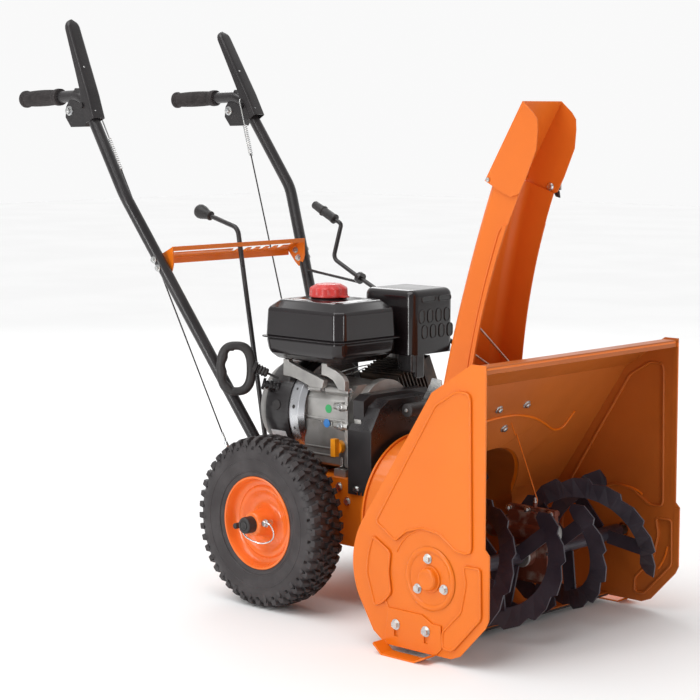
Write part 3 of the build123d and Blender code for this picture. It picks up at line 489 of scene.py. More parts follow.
def wire(name, points, radius, mat, body, cyclic=False, smooth=True, stands_for=()):
    """Round wire through points."""
    curve = bpy.data.curves.new(name, "CURVE")
    curve.dimensions = "3D"
    curve.bevel_depth = radius
    curve.bevel_resolution = 4
    curve.use_fill_caps = True
    spline = curve.splines.new("NURBS" if smooth else "POLY")
    spline.points.add(len(points) - 1)
    for point, place in zip(spline.points, points):
        point.co = (*place, 1)
    if smooth:
        spline.order_u = 3
        spline.use_endpoint_u = not cyclic
        spline.resolution_u = 8
    spline.use_cyclic_u = cyclic
    curve.materials.append(mat)
    obj = link(bpy.data.objects.new(name, curve))
    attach(obj, body)
    if stands_for:
        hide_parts(*stands_for)
    return obj


def finish_cad(node, mat, bevel=0.0):
    """Material and edge rounding for a CAD node that stays."""
    obj = NODES[node]
    obj.data.materials.clear()
    obj.data.materials.append(mat)
    if bevel:
        weld = obj.modifiers.new("weld", "WELD")
        weld.merge_threshold = 0.00002
        round_edges(obj, bevel)


# ---------------------------------------------------------------- CAD nodes that stay
def paint_cad_nodes():
    """A finish for every CAD node that is shown."""
    groups = [
        (ORANGE, 0.0010, ["side_plate_right", "impeller_drum", "skid_right", "skid_left", "frame",
                          "gate_panel", "auger_bearings"]),
        # far side plate and wrap get the orange darkened as painted shade
        (SHADE_ORANGE, 0.0010, ["side_plate_left", "housing_wrap"]),
        (CHUTE, 0.0008, ["chute", "chute_hood"]),
        (BLACK, 0.0, ["handlebar_right", "handlebar_left", "crank_rod", "shift_lever"]),
        (BLACK, 0.0012, ["scraper_bar", "crank_bracket", "chute_gear_head", "chute_ring",
                         "lever_brackets", "belt_cover"]),
        (SLATE, 0.0008, ["auger_right", "auger_left", "impeller"]),
        (FAN, 0.0025, ["fan_housing"]),
        (SILVER, 0.0, ["recoil_cover"]),
        (HEAT, 0.0015, ["muffler"]),
        (PLASTIC, 0.002, ["carb_cover"]),
        (AMBER, 0.0016, ["oil_plug"]),
        (CAST, 0.0016, ["crankcase", "tank_brackets"]),
        (FINS, 0.0, ["cylinder"]),
        (BRIGHT, 0.0015, ["shroud_plate"]),
        (ZINC, 0.0006, ["bolts", "chute_guard", "wheel_pins", "hood_pins"]),
        (STEEL, 0.0006, ["axle", "auger_shaft", "impeller_shaft", "crank_pulley", "drive_disc",
                         "auger_pulley"]),
        (IRON, 0.0016, ["gearbox"]),
        (BRONZE, 0.0006, ["worm_wheel"]),
        (PLASTIC, 0.0006, ["belts"]),
    ]
    for mat, bevel, nodes in groups:
        for node in nodes:
            finish_cad(node, mat, bevel)


# ---------------------------------------------------------------- tyres
TREAD_PITCHES = 44
LUG_HEIGHT = 0.0068
TYRE_FLANK = [(0.80, 0.0885), (0.86, 0.0925), (0.90, 0.0970), (0.885, 0.0990), (0.94, 0.1050),
              (0.985, 0.118), (0.995, 0.130), (0.97, 0.141), (0.90, 0.149), (0.78, 0.1540)]
TYRE_INSIDE = [(0.66, 0.0885), (0.80, 0.120), (0.5, 0.148), (-0.5, 0.148), (-0.80, 0.120),
               (-0.66, 0.0885)]      # share of the half width, radius


def tyre(side):
    """Knobbly tyre: carcass with a beaded sidewall, and rows of moulded lugs."""
    node = "tyre_" + side
    low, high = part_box(node)
    centre = middle(node)
    radius = (high[2] - low[2]) / 2
    half = (high[1] - low[1]) / 2
    base = radius - LUG_HEIGHT
    flank = TYRE_FLANK + [(0.50, base - 0.0004), (0.0, base)]
    profile = [(-half * y, r) for y, r in flank] + [(half * y, r) for y, r in reversed(flank[:-1])]
    profile += [(half * y, r) for y, r in TYRE_INSIDE]
    shape = Shape()
    shape.loft([[centre + Vector((r * cos(angle), y, r * sin(angle))) for y, r in profile]
                for angle in around(120)], close=True)
    tread(shape, centre, half, radius - 0.0006)
    sidewall_ribs(shape, centre, half, SIGN[side])
    shape.build(node + "_knobbly", TYRE, "wheels", 0.0007, [node], "tyre_rubber", sharp=50)


def tread(shape, centre, half, top):
    """Rows of lugs round the tyre: middle, inner, shoulder and sidewall."""
    step = 2 * pi / TREAD_PITCHES
    for k in range(TREAD_PITCHES):
        turn = k * step
        inner, shoulder = turn + 0.5 * step, turn + 0.04
        deep = 0.022 if k % 2 else 0.017
        lug(shape, centre, turn, (-0.16 * half, top), (0.16 * half, top), 0.0098, 0.35)
        for s in (-1, 1):
            w = s * half
            lug(shape, centre, inner, (0.20 * w, top), (0.56 * w, top - 0.0008), 0.0102, -0.4 * s)
            lug(shape, centre, shoulder, (0.62 * w, top - 0.0008), (0.93 * w, top - 0.0060), 0.0130,
                0.2 * s)
            lug(shape, centre, shoulder, (0.89 * w, top - 0.0075), (0.985 * w, top - deep), 0.0095, 0.0)


def lug(shape, centre, angle, inner, outer, width, skew):
    """Tapered tread block from an inner to an outer (y, radius) point."""
    rings = []
    for sink, share in ((0.011, 1.0), (0.0015, 0.86), (0.0, 0.74)):
        ring = []
        for (y, r), shift in ((inner, -skew), (outer, skew)):
            r = r - sink
            for sign in (-1, 1) if shift == -skew else (1, -1):
                offset = (sign * width * share / 2 + shift * width * 0.5) / r
                pinch = 1 if share == 1.0 else 0.985
                ring.append(centre + Vector((r * cos(angle + offset), y * pinch, r * sin(angle + offset))))
        rings.append(ring)
    shape.loft(rings)


def sidewall_ribs(shape, centre, half, out):
    """Raised ribs round the outer sidewall."""
    for radius, lift in ((0.1385, 0.955), (0.1240, 1.0), (0.1010, 0.915)):
        rings = []
        for angle in around(120):
            ring = []
            for y, r in ((-0.03, -0.0020), (0.006, -0.0009), (0.006, 0.0009), (-0.03, 0.0020)):
                reach = radius + r
                point = Vector((reach * cos(angle), out * half * (lift + y), reach * sin(angle)))
                ring.append(centre + point)
            rings.append(ring)
        shape.loft(rings, close=True)


RIM_Y = 0.196                       # middle plane of each rim
RIM_PROFILE = [(33, 88.9), (35.4, 89.6), (36.8, 88.2), (36.2, 85.8), (32, 83.6), (24, 82), (18, 80.2),
               (14.5, 76.5), (13, 71), (15.5, 68), (16.2, 64), (13, 59), (7, 53), (4.5, 45),
               (5.5, 37), (10, 31.5), (18, 28), (32, 25.5), (44, 23.5), (49, 22), (50, 20.6),
               (50, 10), (-46, 10), (-46, 22.3), (-10, 24), (-2, 34), (2, 52), (4, 62), (-2, 72),
               (-12, 77.5), (-30, 79.5), (-35.6, 84), (-36.4, 89), (-33, 88.9), (0, 82.5)]


def rim(side):
    """Pressed wheel rim: rolled flange, stepped dish and hub tube."""
    out = SIGN[side]
    centre = Vector((AXLE_X, out * RIM_Y, AXLE_Z))
    shape = Shape()
    shape.loft([[centre + Vector((r * cos(angle), out * y, r * sin(angle))) / 1000 for y, r in RIM_PROFILE]
                for angle in around(96)], close=True)
    shape.build("rim_dish_" + side, RIM, "wheels", 0, ["rim_" + side], "rim_paint", sharp=48)


def wheel_hub(side):
    """Black sleeve on the axle's end, valve stem and the quick pin with its wire bow."""
    out = SIGN[side]
    outward = (0, out, 0)
    centre = Vector((AXLE_X, out * 0.246, AXLE_Z))
    shape = Shape()
    shape.lathe(centre, outward, [(-0.002, 0.0160), (0.014, 0.0160), (0.0180, 0.0154), (0.0195, 0.0138),
                                  (0.0195, 0.0100), (0.0183, 0.0094)], 36)
    shape.lathe(centre, outward, [(0, 0.0078), (0.0192, 0.0078), (0.0200, 0.0066), (0.0188, 0.0030)], 24)
    valve = Vector((AXLE_X - 0.052, out * 0.208, 0.153))
    shape.lathe(valve, (0.002, out, 0), [(0, 0.0044), (0.018, 0.0040), (0.019, 0.0056), (0.031, 0.0058),
                                         (0.033, 0.0040)], 20)
    shape.build("hub_sleeve_" + side, PLASTIC, "wheels", 0.0004)
    pin = Shape()
    pin_x, pin_z = AXLE_X + 0.030, 0.170
    pin.lathe((pin_x, out * 0.222, pin_z), outward, [(0, 0.0056), (0.020, 0.0056), (0.0215, 0.0040)], 20)
    pin.lathe((pin_x, out * 0.236, pin_z), outward, [(0, 0.0080), (0.0012, 0.0078)], 24)
    pin.build("hub_pin_" + side, ZINC, "wheels", stands_for=["wheel_pins"] if side == "right" else ())
    bow = [(0.030, 0.172, 0.242), (0.042, 0.174, 0.240), (0.052, 0.158, 0.236), (0.050, 0.140, 0.236),
           (0.028, 0.130, 0.244), (0.004, 0.136, 0.252), (-0.010, 0.146, 0.258), (-0.012, 0.156, 0.258)]
    wire("hub_pin_bow_" + side, [(AXLE_X + x, out * y, z) for x, z, y in bow], 0.0015, ZINC, "wheels")


# ---------------------------------------------------------------- fuel tank
TANK_X, TANK_Y = (-0.046, 0.162), (-0.116, 0.056)
TANK_SEAM, TANK_FOOT = 0.507, 0.463
TANK_CUT = 0.015                    # cut corners of the tank
CAP_X, CAP_Y = 6, -40               # filler neck, in millimetres


def tank_ring(z, inset=0.0):
    """Plan outline of the tank with cut corners."""
    (x0, x1), (y0, y1) = TANK_X, TANK_Y
    x0, x1, y0, y1 = x0 + inset, x1 - inset, y0 + inset, y1 - inset
    cut = TANK_CUT
    plan = [(x0, y0 + 0.010), (x0 + 0.010, y0), (x1 - cut, y0), (x1, y0 + cut), (x1, y1 - cut),
            (x1 - cut, y1), (x0 + cut, y1), (x0, y1 - cut)]
    return [Vector((x, y, z)) for x, y in plan]


def fuel_tank():
    """Two pressed shells, the rolled seam between them and the filler neck."""
    upper = Shape()
    upper.loft([tank_ring(TANK_SEAM), tank_ring(0.562, 0.0025), tank_ring(0.580, 0.022)])
    shell = upper.build("tank_upper_shell", ENAMEL, "chassis", 0, ["fuel_tank"], "engine_black")
    round_edges(shell, 0.0080, 5)
    lower = Shape()
    lower.loft([tank_ring(TANK_FOOT, 0.018), tank_ring(0.479, 0.0035), tank_ring(TANK_SEAM)])
    round_edges(lower.build("tank_lower_shell", ENAMEL, "chassis"), 0.0080, 5)
    seam = Shape()
    seam.loft([tank_ring(TANK_SEAM - 0.0016, -0.004), tank_ring(TANK_SEAM - 0.0004, -0.006),
               tank_ring(TANK_SEAM + 0.0010, -0.006), tank_ring(TANK_SEAM + 0.0016, -0.004)])
    round_edges(seam.build("tank_seam", ENAMEL, "chassis"), 0.004, 3)
    crown = Shape()
    crown.loft([tank_ring(0.5795, 0.030), tank_ring(0.5812, 0.034), tank_ring(0.5816, 0.046)])
    round_edges(crown.build("tank_crown", ENAMEL, "chassis"), 0.002, 3)
    neck = Shape()
    neck.lathe(at(CAP_X, CAP_Y, 579), (0, 0, 1), [(0, 0.040), (0.003, 0.0385), (0.0045, 0.036),
                                                  (0.0055, 0.0335), (0.0060, 0.0300)], 56)
    neck.build("tank_neck", ENAMEL, "chassis")


def fuel_cap():
    """Fluted red cap with a domed top and its tether tab."""
    base = at(CAP_X, CAP_Y, 585.3)
    flutes = 9
    levels = [(0.0, 0.0360, 0.0), (0.0012, 0.0376, 0.0), (0.0045, 0.0378, 0.0), (0.0056, 0.0376, 0.05),
              (0.0165, 0.0372, 0.06), (0.0190, 0.0350, 0.05), (0.0235, 0.0270, 0.02),
              (0.0252, 0.0240, 0.0), (0.0256, 0.0215, 0.0), (0.0258, 0.004, 0.0)]
    shape = Shape()
    rings = []
    for z, radius, depth in levels:
        ring = []
        for angle in around(128):
            r = radius * (1 - depth * (0.5 + 0.5 * cos(flutes * angle)) ** 2)
            ring.append(base + Vector((r * cos(angle), r * sin(angle), z)))
        rings.append(ring)
    shape.loft(rings)
    shape.block(base + Vector((0.033, -0.007, 0.0010)), base + Vector((0.050, 0.006, 0.0042)))
    shape.build("fuel_cap_fluted", RED, "tank_cap", 0.0006, ["fuel_cap"], "cap_red", sharp=40)


# ---------------------------------------------------------------- handles
GRIP_END, GRIP_FRONT = (-718.5, 211.2, 968.1), (-595, 217.2, 972.1)
LEVER_PIN = (-498.0, 222.2, 955.0)


def grip(side):
    """Hand grip: closed end, waisted sleeve with ribs, and a collar."""
    sign = SIGN[side]
    end = at(GRIP_END[0], sign * GRIP_END[1], GRIP_END[2])
    front = at(GRIP_FRONT[0], sign * GRIP_FRONT[1], GRIP_FRONT[2])
    axis = front - end
    length = axis.length
    profile = [(0, 0.010), (0.0006, 0.0165), (0.002, 0.0178), (0.007, 0.0180), (0.010, 0.0165),
               (0.0115, 0.0148)]
    ribs = 30
    for k in range(ribs + 1):
        share = k / ribs
        along = 0.014 + (length - 0.030) * share
        belly = 0.0150 + 0.0016 * sin(pi * share) ** 0.7
        profile += [(along, belly), (along + 0.0012, belly + 0.0004), (along + 0.0022, belly)]
    collar = [(-0.012, 0.0150), (-0.010, 0.0170), (-0.004, 0.0178), (0.004, 0.0172), (0.005, 0.0128)]
    profile += [(length + along, radius) for along, radius in collar]
    shape = Shape()
    shape.lathe(end, axis, profile, 48)
    stands = ["grips"] if side == "right" else ()
    shape.build("hand_grip_" + side, GRIP, "chassis", 0, stands, "grip_rubber", sharp=70)


LEVER_FOOT, LEVER_TIP = (-470.0, 926.0), (-549.0, 1128.0)
LEVER_LEAN = {"right": 0.0, "left": 10.0}
LEVER_WALL = 1.8
LEVER_ALONG = Vector((LEVER_TIP[0] - LEVER_FOOT[0], 0, LEVER_TIP[1] - LEVER_FOOT[1]))
LEVER_LENGTH = LEVER_ALONG.length
LEVER_ALONG.normalize()
LEVER_FORWARD = Vector((LEVER_ALONG.z, 0, -LEVER_ALONG.x))


def lever_section(half, front, back, corner):
    """Open channel outline, (across, forward) pairs: outer skin one way round, inner skin back."""
    outline = []
    for grow in (0.0, LEVER_WALL):
        w, f = half - grow, front - grow
        r = max(corner - grow, 0.4)
        skin = [(-w, back)]
        for k in range(7):
            angle = radians(180 - 15 * k)
            skin.append((-w + r + r * cos(angle), f - r + r * sin(angle)))
        skin += [(-x, t) for x, t in reversed(skin)]
        outline += skin if grow == 0.0 else list(reversed(skin))
    return outline


def lever_lean(side):
    """Turn of a lever about its pin at rest."""
    return Matrix.Rotation(-radians(LEVER_LEAN[side]), 3, "Y")


def on_lever(side, along, front, across):
    """Point of a lever: along it from its foot, towards its front, and across it."""
    pivot = Vector((LEVER_PIN[0], 0, LEVER_PIN[2]))
    flat = Vector((LEVER_FOOT[0], 0, LEVER_FOOT[1])) + LEVER_ALONG * along + LEVER_FORWARD * front
    flat = pivot + lever_lean(side) @ (flat - pivot)
    return at(flat.x, SIGN[side] * LEVER_PIN[1] + across, flat.z)


def lever(side):
    """Clutch lever: rolled channel with a rounded tip and an open square foot."""
    stations = [(0, 16, 10, -16, 5), (50, 16, 12, -16, 6), (62, 16, 12, -10, 6.5), (110, 16, 10.5, -8, 7)]
    for share in (0.0, 0.35, 0.6, 0.8, 0.92, 0.985):
        width = 16 * (1 - share ** 2) ** 0.5
        stations.append((LEVER_LENGTH - 18 + 18 * share, width, 8 - 5 * share ** 2, -5 + 3 * share,
                         min(7.5, width * 0.9)))
    shape = Shape()
    shape.loft([[on_lever(side, along, t, across) for across, t in lever_section(half, front, back, corner)]
                for along, half, front, back, corner in stations])
    shape.build("clutch_lever_" + side, BLACK, side + "_lever", 0, ["lever_" + side], "black_paint",
                sharp=50)
    rivet = Shape()
    for along, front, size in ((110, 10.3, 2.2), (16, 10.2, 1.6)):
        rivet.lathe(on_lever(side, along, front, -6), lever_lean(side) @ LEVER_FORWARD,
                    [(0, size / 1000), (0.0008, size / 1400)], 16)
    rivet.build("lever_rivets_" + side, ZINC, side + "_lever")


def pivot_bolts():
    """Pivot bolt through each lever and the nut on each link bracket."""
    shape = Shape()
    for sign in (-1, 1):
        shape.hex_bolt(at(-549, sign * 229.2, 944), (0, sign, 0), 0.0068, 0.006)
        shape.hex_bolt(at(-549, sign * 215.2, 944), (0, -sign, 0), 0.0068, 0.006)
        shape.hex_bolt(at(-309, sign * (202 + 12.5), 650), (0, sign, 0), 0.0050, 0.004)
        shape.hex_bolt(at(-301, sign * (198.5 + 12.5), 634), (0, sign, 0), 0.0050, 0.004)
    shape.build("lever_bolts", ZINC, "chassis")


CABLES = [("right", (-476, -203, 925), 40, 110), ("left", (-498, 200, 967), 59, 129)]


def cable(side, top, spring_from, spring_to):
    """Clutch cable: hooked wire, open return spring and the plain cable below it."""
    sign = SIGN[side]
    top = at(*top)
    line = (at(-203, sign * 118, 277) - top).normalized()
    low = top + line * ((top.z - 0.2465) / -line.z)
    upper, lower = top + line * spring_from / 1000, top + line * spring_to / 1000
    hook = [top + Vector((0, sign * 0.008, 0.001)), top + Vector((0, sign * 0.004, 0.003)), top,
            top + line * 0.012, upper]
    wire("cable_hook_" + side, hook, 0.0015, ZINC, "chassis")
    turn = frame_along(line)
    turns, per_turn, radius = 16, 10, 0.0040
    helix = []
    for k in range(turns * per_turn + 1):
        angle = 2 * pi * k / per_turn
        along = (lower - upper).length * k / (turns * per_turn)
        helix.append(upper + turn @ Vector((radius * cos(angle), radius * sin(angle), along)))
    wire("cable_spring_" + side, helix, 0.0011, ZINC, "chassis")
    wire("cable_line_" + side, [lower - line * 0.004, (lower + low) / 2, low], 0.0015, PLASTIC, "chassis",
         stands_for=["cables"] if side == "right" else ())
    fitting = Shape()
    fitting.lathe(low - line * 0.062, line, [(0, 0.0016), (0.001, 0.0028), (0.020, 0.0028), (0.021, 0.0040),
                                             (0.030, 0.0040), (0.031, 0.0032), (0.062, 0.0032)], 20)
    fitting.build("cable_end_" + side, ZINC, "chassis")


def knob():
    """Pear-shaped knob of the gear lever."""
    shape = Shape()
    tip = at(-431, 12, 737.4)
    profile = [(0, 0.001), (0.0005, 0.0060), (0.003, 0.0105), (0.007, 0.0138), (0.012, 0.0152),
               (0.018, 0.0148), (0.026, 0.0126), (0.034, 0.0104), (0.040, 0.0092), (0.0415, 0.0100),
               (0.045, 0.0098), (0.0465, 0.0060)]
    shape.lathe(tip, (0.966, 0, -0.257), profile, 44)
    shape.build("gear_knob", PLASTIC, "gear_lever", 0, ["shift_knob"], "black_plastic", sharp=60)


def crank_grip():
    """Two-part turning grip of the chute crank, with a ring between the halves."""
    start, end = at(-270, 200, 748), at(-207, 200, 717.5)
    length = (end - start).length
    sleeve = [(0.40, 0.0094), (0.42, 0.0112), (0.46, 0.0112), (0.48, 0.0096), (0.90, 0.0096),
              (0.92, 0.0106), (0.98, 0.0106)]
    profile = [(0, 0.004), (0.0008, 0.0072), (0.003, 0.0086)]
    profile += [(length * share, radius) for share, radius in sleeve] + [(length, 0.0080)]
    shape = Shape()
    shape.lathe(start, end - start, profile, 36)
    shape.build("crank_handle", PLASTIC, "chute_crank", 0, ["crank_grip"], "black_plastic", sharp=40)


# ---------------------------------------------------------------- engine details
HANDLE_MID = (-141.0, -149.5, 441.5)


def pull_handle():
    """Starter handle: rounded closed loop on a ribbed rubber boot."""
    middle_point = at(*HANDLE_MID)
    x_dir, normal = Vector((0.725, 0.689, 0)), Vector((0.689, -0.725, 0))
    turn = Matrix((x_dir, Vector((0, 0, 1)), normal)).transposed()
    squareness = 2.6
    shape = Shape()
    rings = []
    for angle in around(96):
        c, s = cos(angle), sin(angle)
        bend = (abs(c) ** squareness + abs(s) ** squareness) ** (-1 / squareness)
        ring = []
        for skin in around(16):
            finger = 0.0016 * cos(8.5 * angle) if c < -0.2 and cos(skin) < 0 else 0.0
            inward = 0.0094 * cos(skin) + finger
            across = 0.0078 * sin(skin)
            a, b = 0.0295 + inward, 0.0452 + inward * 0.9
            ring.append(middle_point + turn @ Vector((a * c * bend, b * s * bend, across)))
        rings.append(ring)
    shape.loft(rings, close=True)
    root = middle_point + turn @ Vector((0.036, 0.002, 0))
    down = Vector((0.66, 0.63, -0.41))
    profile = [(-0.004, 0.0125), (0.003, 0.0125)]
    for k in range(4):
        pleat = 0.006 * k
        profile += [(0.0045 + pleat, 0.0085), (0.007 + pleat, 0.0118 - 0.0008 * k), (0.009 + pleat, 0.0085)]
    profile += [(0.0285, 0.0070), (0.0290, 0.0024), (0.052, 0.0024)]
    shape.lathe(root, down, profile, 28)
    shape.build("starter_grip", PLASTIC, "starter_handle", 0, ["pull_handle"], "black_plastic", sharp=50)


def disc_label(name, x, z, y, colour, radius):
    """Plain round label on the side of the crankcase."""
    shape = Shape()
    shape.lathe(at(x, y, z), (0, -1, 0), [(0, radius), (0.0004, radius * 0.98)], 40)
    shape.build(name, label_or_shade_paint(name + "_print", colour), "chassis")


def engine_bolts():
    """Case bolts, cover screws and the studs on the engine's feet."""
    shape = Shape()
    for x, z in ((88, 345), (88, 382)):
        shape.hex_bolt(at(x, -94.6, z), (0, -1, 0), 0.0046, 0.004)
    for x, z in ((-5, 262), (90, 262)):
        shape.hex_bolt(at(x, -90, z), (0, 0, 1), 0.005, 0.0045)
        shape.lathe(at(x, -90, z), (0, 0, 1), [(0, 0.0030), (0.022, 0.0030), (0.023, 0.0022)], 16)
    for x in (24, 98):
        shape.hex_bolt(at(x, -76, 410), (1, 0, 0), 0.0050, 0.004)
    for angle in range(20, 380, 60):
        c, s = cos(radians(angle)), sin(radians(angle))
        shape.hex_bolt(at(-112, 88 * c, CRANK_Z + 88 * s), (-1, 0, 0), 0.0042, 0.003)
    shape.build("engine_bolts", ZINC, "chassis")


def crankcase_ribs():
    """Cast ribs, parting flange and bosses on the near side of the crankcase."""
    shape = Shape()
    face = CASE_Y
    shape.block(at(-14, face - 3, 352), at(94, face + 1, 357))
    shape.block(at(96, face - 6, 266), at(104, face + 1, 404))
    for x in (4, 30, 56):
        shape.block(at(x, face - 2.5, 268), at(x + 3, face + 1, 350))
    for z in (345, 382):
        shape.lathe(at(88, face + 2, z), (0, -1, 0), [(0, 0.0095), (0.010, 0.0085), (0.0122, 0.0070)], 24)
    for x, length in ((-4, 0.027), (40, 0.057)):
        profile = [(0, 0.0065), (0.001, 0.0082), (length - 0.001, 0.0085), (length, 0.0070)]
        shape.lathe(at(x, -76, 410), (1, 0, 0), profile, 24)
    shape.build("crankcase_ribs", CAST, "chassis", 0.0012)


def shroud_details():
    """Folded bright plate beside the blower housing, with its hole and tabs; black discs stand for the
    openings as painted shade.
    """
    shape = Shape()
    rings = []
    for k in range(25):
        angle = radians(138 + 108 * k / 24)
        ring = []
        for x, r in ((-43, 102.5), (-18, 102.5), (-8, 94), (-18, 99.5), (-43, 99.5)):
            ring.append(at(x, r * cos(angle), CRANK_Z + r * sin(angle)))
        rings.append(ring)
    shape.loft(rings)
    shape.build("shroud_fold", BRIGHT, "chassis", 0.0004)
    # black discs painted as the shade seen through the plate's holes
    dots = Shape()
    for angle, x, r in ((172, -30, 4.0), (152, -30, 2.6), (196, -30, 2.6)):
        c, s = cos(radians(angle)), sin(radians(angle))
        seat = at(x, 102.4 * c, CRANK_Z + 102.4 * s)
        dots.lathe(seat, (0, c, s), [(0, r / 1000), (0.0004, r / 1000 * 0.9)], 20)
    dots.lathe(at(-74, -104.6, 372), (0, -1, 0.1), [(0, 0.0105), (0.0012, 0.0098)], 28)
    dots.build("shroud_hole_shades", PLASTIC, "chassis")


def housing_label():
    """Plain white label on the blower housing, low on the near side."""
    low, high = BLOWER_R + 0.2, BLOWER_R + 0.5
    shape = Shape()
    rings = []
    for k in range(9):
        angle = radians(201 + 11 * k / 8)
        rings.append([at(x, r * cos(angle), CRANK_Z + r * sin(angle))
                      for x, r in ((-96, low), (-56, low), (-56, high), (-96, high))])
    shape.loft(rings)
    shape.build("blower_label", label_or_shade_paint("blower_label_print", (0.72, 0.73, 0.74)), "chassis")


def governor_linkage():
    """Throttle and governor rods over the crankcase, and their bracket."""
    throttle = [at(-20, -58, 430), at(30, -52, 438), at(64, -40, 436), at(86, -20, 452)]
    wire("throttle_rod", throttle, 0.0011, ZINC, "chassis")
    governor = [at(10, -40, 428), at(40, -30, 446), at(84, -6, 456)]
    wire("governor_rod", governor, 0.0012, ZINC, "chassis")
    shape = Shape()
    shape.block(at(40, -58, 424), at(66, -55, 440))
    shape.build("throttle_bracket", SILVER, "chassis", 0.0006)


def extrude(shape, outline, y0, y1):
    """Plate with an (X, Z) outline in millimetres between two Y positions."""
    shape.loft([[at(x, y, z) for x, z in outline] for y in (y0, y1)])


def cover_bracket():
    """Rubber roller and the zinc bracket between the belt cover and the chute."""
    roller = Shape()
    profile = [(0, 0.0036), (0.0006, 0.0060), (0.0002, 0.0105), (0.0015, 0.0132), (0.055, 0.0132),
               (0.057, 0.0100)]
    roller.lathe(at(212, -42, 383), (0, 1, 0), profile, 36)
    roller.build("rubber_roller", PLASTIC, "chassis")
    plate = Shape()
    extrude(plate, [(186, 376), (218, 430), (222, 440), (245, 438), (249, 411), (226, 376)], 18, 21)
    plate.lathe(at(212, -44, 383), (0, 1, 0), [(0, 0.0034), (0.066, 0.0034)], 16)
    plate.build("roller_bracket", ZINC, "chassis", 0.0006)


SHIELD_X, SHIELD_Y, SHIELD_Z = (-2.0, 131.0), (65.0, 190.0), (470.0, 597.0)
SHIELD_CORNER, SHIELD_CROWN = 18, 14   # radii of its upright corners and of its top edge


def guard_plan(z, inset):
    """Rounded rectangle of the exhaust guard at a height."""
    (x0, x1), (y0, y1) = SHIELD_X, SHIELD_Y
    corner = SHIELD_CORNER
    ring = []
    for cx, cy, start in ((x1, y1, 0), (x0, y1, 90), (x0, y0, 180), (x1, y0, 270)):
        mid_x = cx - corner if cx == x1 else cx + corner
        mid_y = cy - corner if cy == y1 else cy + corner
        for k in range(8):
            angle = radians(start + 90 * k / 7)
            reach = corner - inset
            ring.append(at(mid_x + reach * cos(angle), mid_y + reach * sin(angle), z))
    return ring


def exhaust_guard():
    """Deep-drawn guard over the exhaust with rounded edges and rows of louvres, whose openings are
    near-black plates of painted shade.
    """
    z0, z1 = SHIELD_Z
    shell = Shape()
    shoulder = z1 - SHIELD_CROWN
    rings = [guard_plan(z0 + 2, 3), guard_plan(z0, 0.5), guard_plan(shoulder, 0)]
    for k in range(1, 7):
        angle = radians(15 * k)
        rings.append(guard_plan(shoulder + SHIELD_CROWN * sin(angle), SHIELD_CROWN * (1 - cos(angle))))
    shell.loft(rings)
    shell.build("exhaust_guard_shell", ENAMEL, "chassis", 0, ["muffler_shield"], "heat_black", sharp=50)
    strap = Shape()
    strap.block(at(119, 78, 424), at(128, 104, 474))
    strap.block(at(90, 66, 436), at(128, 80, 472))
    strap.build("exhaust_strap", HEAT, "chassis", 0.003)
    slot_shades, rims = Shape(), []
    for z, first in ((545, 92), (514, 101)):
        for column in range(4):
            rims.append(louvre(slot_shades, first + 25 * column, z, 7.5, 13))
    for y, half in ((112, 20), (160, 18)):
        rims.append(louvre(slot_shades, y, 578, half, 5.0))
    # near-black plates painted as the shade inside the louvres
    slot_shades.build("guard_slot_shades", label_or_shade_paint("slot_shadow", (0.004, 0.004, 0.004)), "chassis")
    for k, points in enumerate(rims):
        wire(f"guard_rim_{k}", points, 0.0011, ENAMEL, "chassis", cyclic=True, smooth=False)


def louvre(slot_shades, y, z, half, tall):
    """Long slot with round ends on the guard's front face, filled by a near-black plate of painted shade;
    returns its rim.
    """
    radius = min(half, tall)
    points = []
    for k in range(20):
        angle = 2 * pi * (k + 0.5) / 20
        dy = radius * cos(angle) + (half - radius) * (1 if cos(angle) > 0 else -1)
        dz = radius * sin(angle) + (tall - radius) * (1 if sin(angle) > 0 else -1)
        points.append((y + dy, z + dz))
    face = SHIELD_X[1]
    slot_shades.loft([[at(face - 2, a, b) for a, b in points], [at(face + 0.3, a, b) for a, b in points]])
    return [at(face + 0.4, a, b) for a, b in points]


def lower_casting():
    """Darker sump casting with cooling ribs on the near side of the crankcase."""
    shape = Shape()
    extrude(shape, [(-14, 268), (94, 268), (94, 334), (60, 341), (20, 350), (-14, 350)], -87.5, -83)
    for z in (282, 296):
        shape.block(at(-12, -89.5, z), at(70, -86, z + 4))
    shape.build("sump_casting", SILVER, "chassis", 0.0015)


# ---------------------------------------------------------------- snow housing
# X and Z where the sloping edge of the side plates starts, and its run to the top
WALL_FOOT, WALL_RISE = (325.0, 229.0), (158.0, 239.0)
WALL_OFFSET = 5.2                   # from that edge to the details on the back wall
WALL_ARCH = [(-214, 330), (-150, 366), (-100, 392), (-57, 398), (3, 398), (64, 385), (110, 368),
             (140, 354), (160, 347), (178, 348), (186, 358), (190, 383)]


def wall_point(y, z, lift=0.0):
    """Point on the inner face of the sloping back wall, lifted towards the front."""
    length = (WALL_RISE[0] ** 2 + WALL_RISE[1] ** 2) ** 0.5
    out = WALL_OFFSET + lift
    x = WALL_FOOT[0] + WALL_RISE[0] * (z - WALL_FOOT[1]) / WALL_RISE[1]
    return at(x + WALL_RISE[1] / length * out, y, z - WALL_RISE[0] / length * out)


def wall_details():
    """Stamped arch over the drum opening, seam, grease line and bolts of the back wall."""
    arch = [wall_point(y, z, 0.4) for y, z in WALL_ARCH]
    wire("wall_arch_bead", arch, 0.0024, ORANGE, "chassis")
    seam = [wall_point(2, 381), wall_point(20, 366), wall_point(38, 352)]
    wire("wall_seam", seam, 0.0009, ORANGE, "chassis", smooth=False)
    top, low = at(413, 38, 352), at(470, 30, 236)
    line = [top, top.lerp(low, 0.5), low, low + Vector((-0.004, 0, -0.02))]
    wire("grease_line", line, 0.0011, ORANGE, "chassis", smooth=False)
    bolts = Shape()
    for y, z in ((-62, 415), (17, 416), (-12, 372)):
        bolts.hex_bolt(wall_point(y, z), (WALL_RISE[1], 0, -WALL_RISE[0]), 0.0058, 0.0045)
    bolts.build("wall_bolts", ZINC, "chassis")


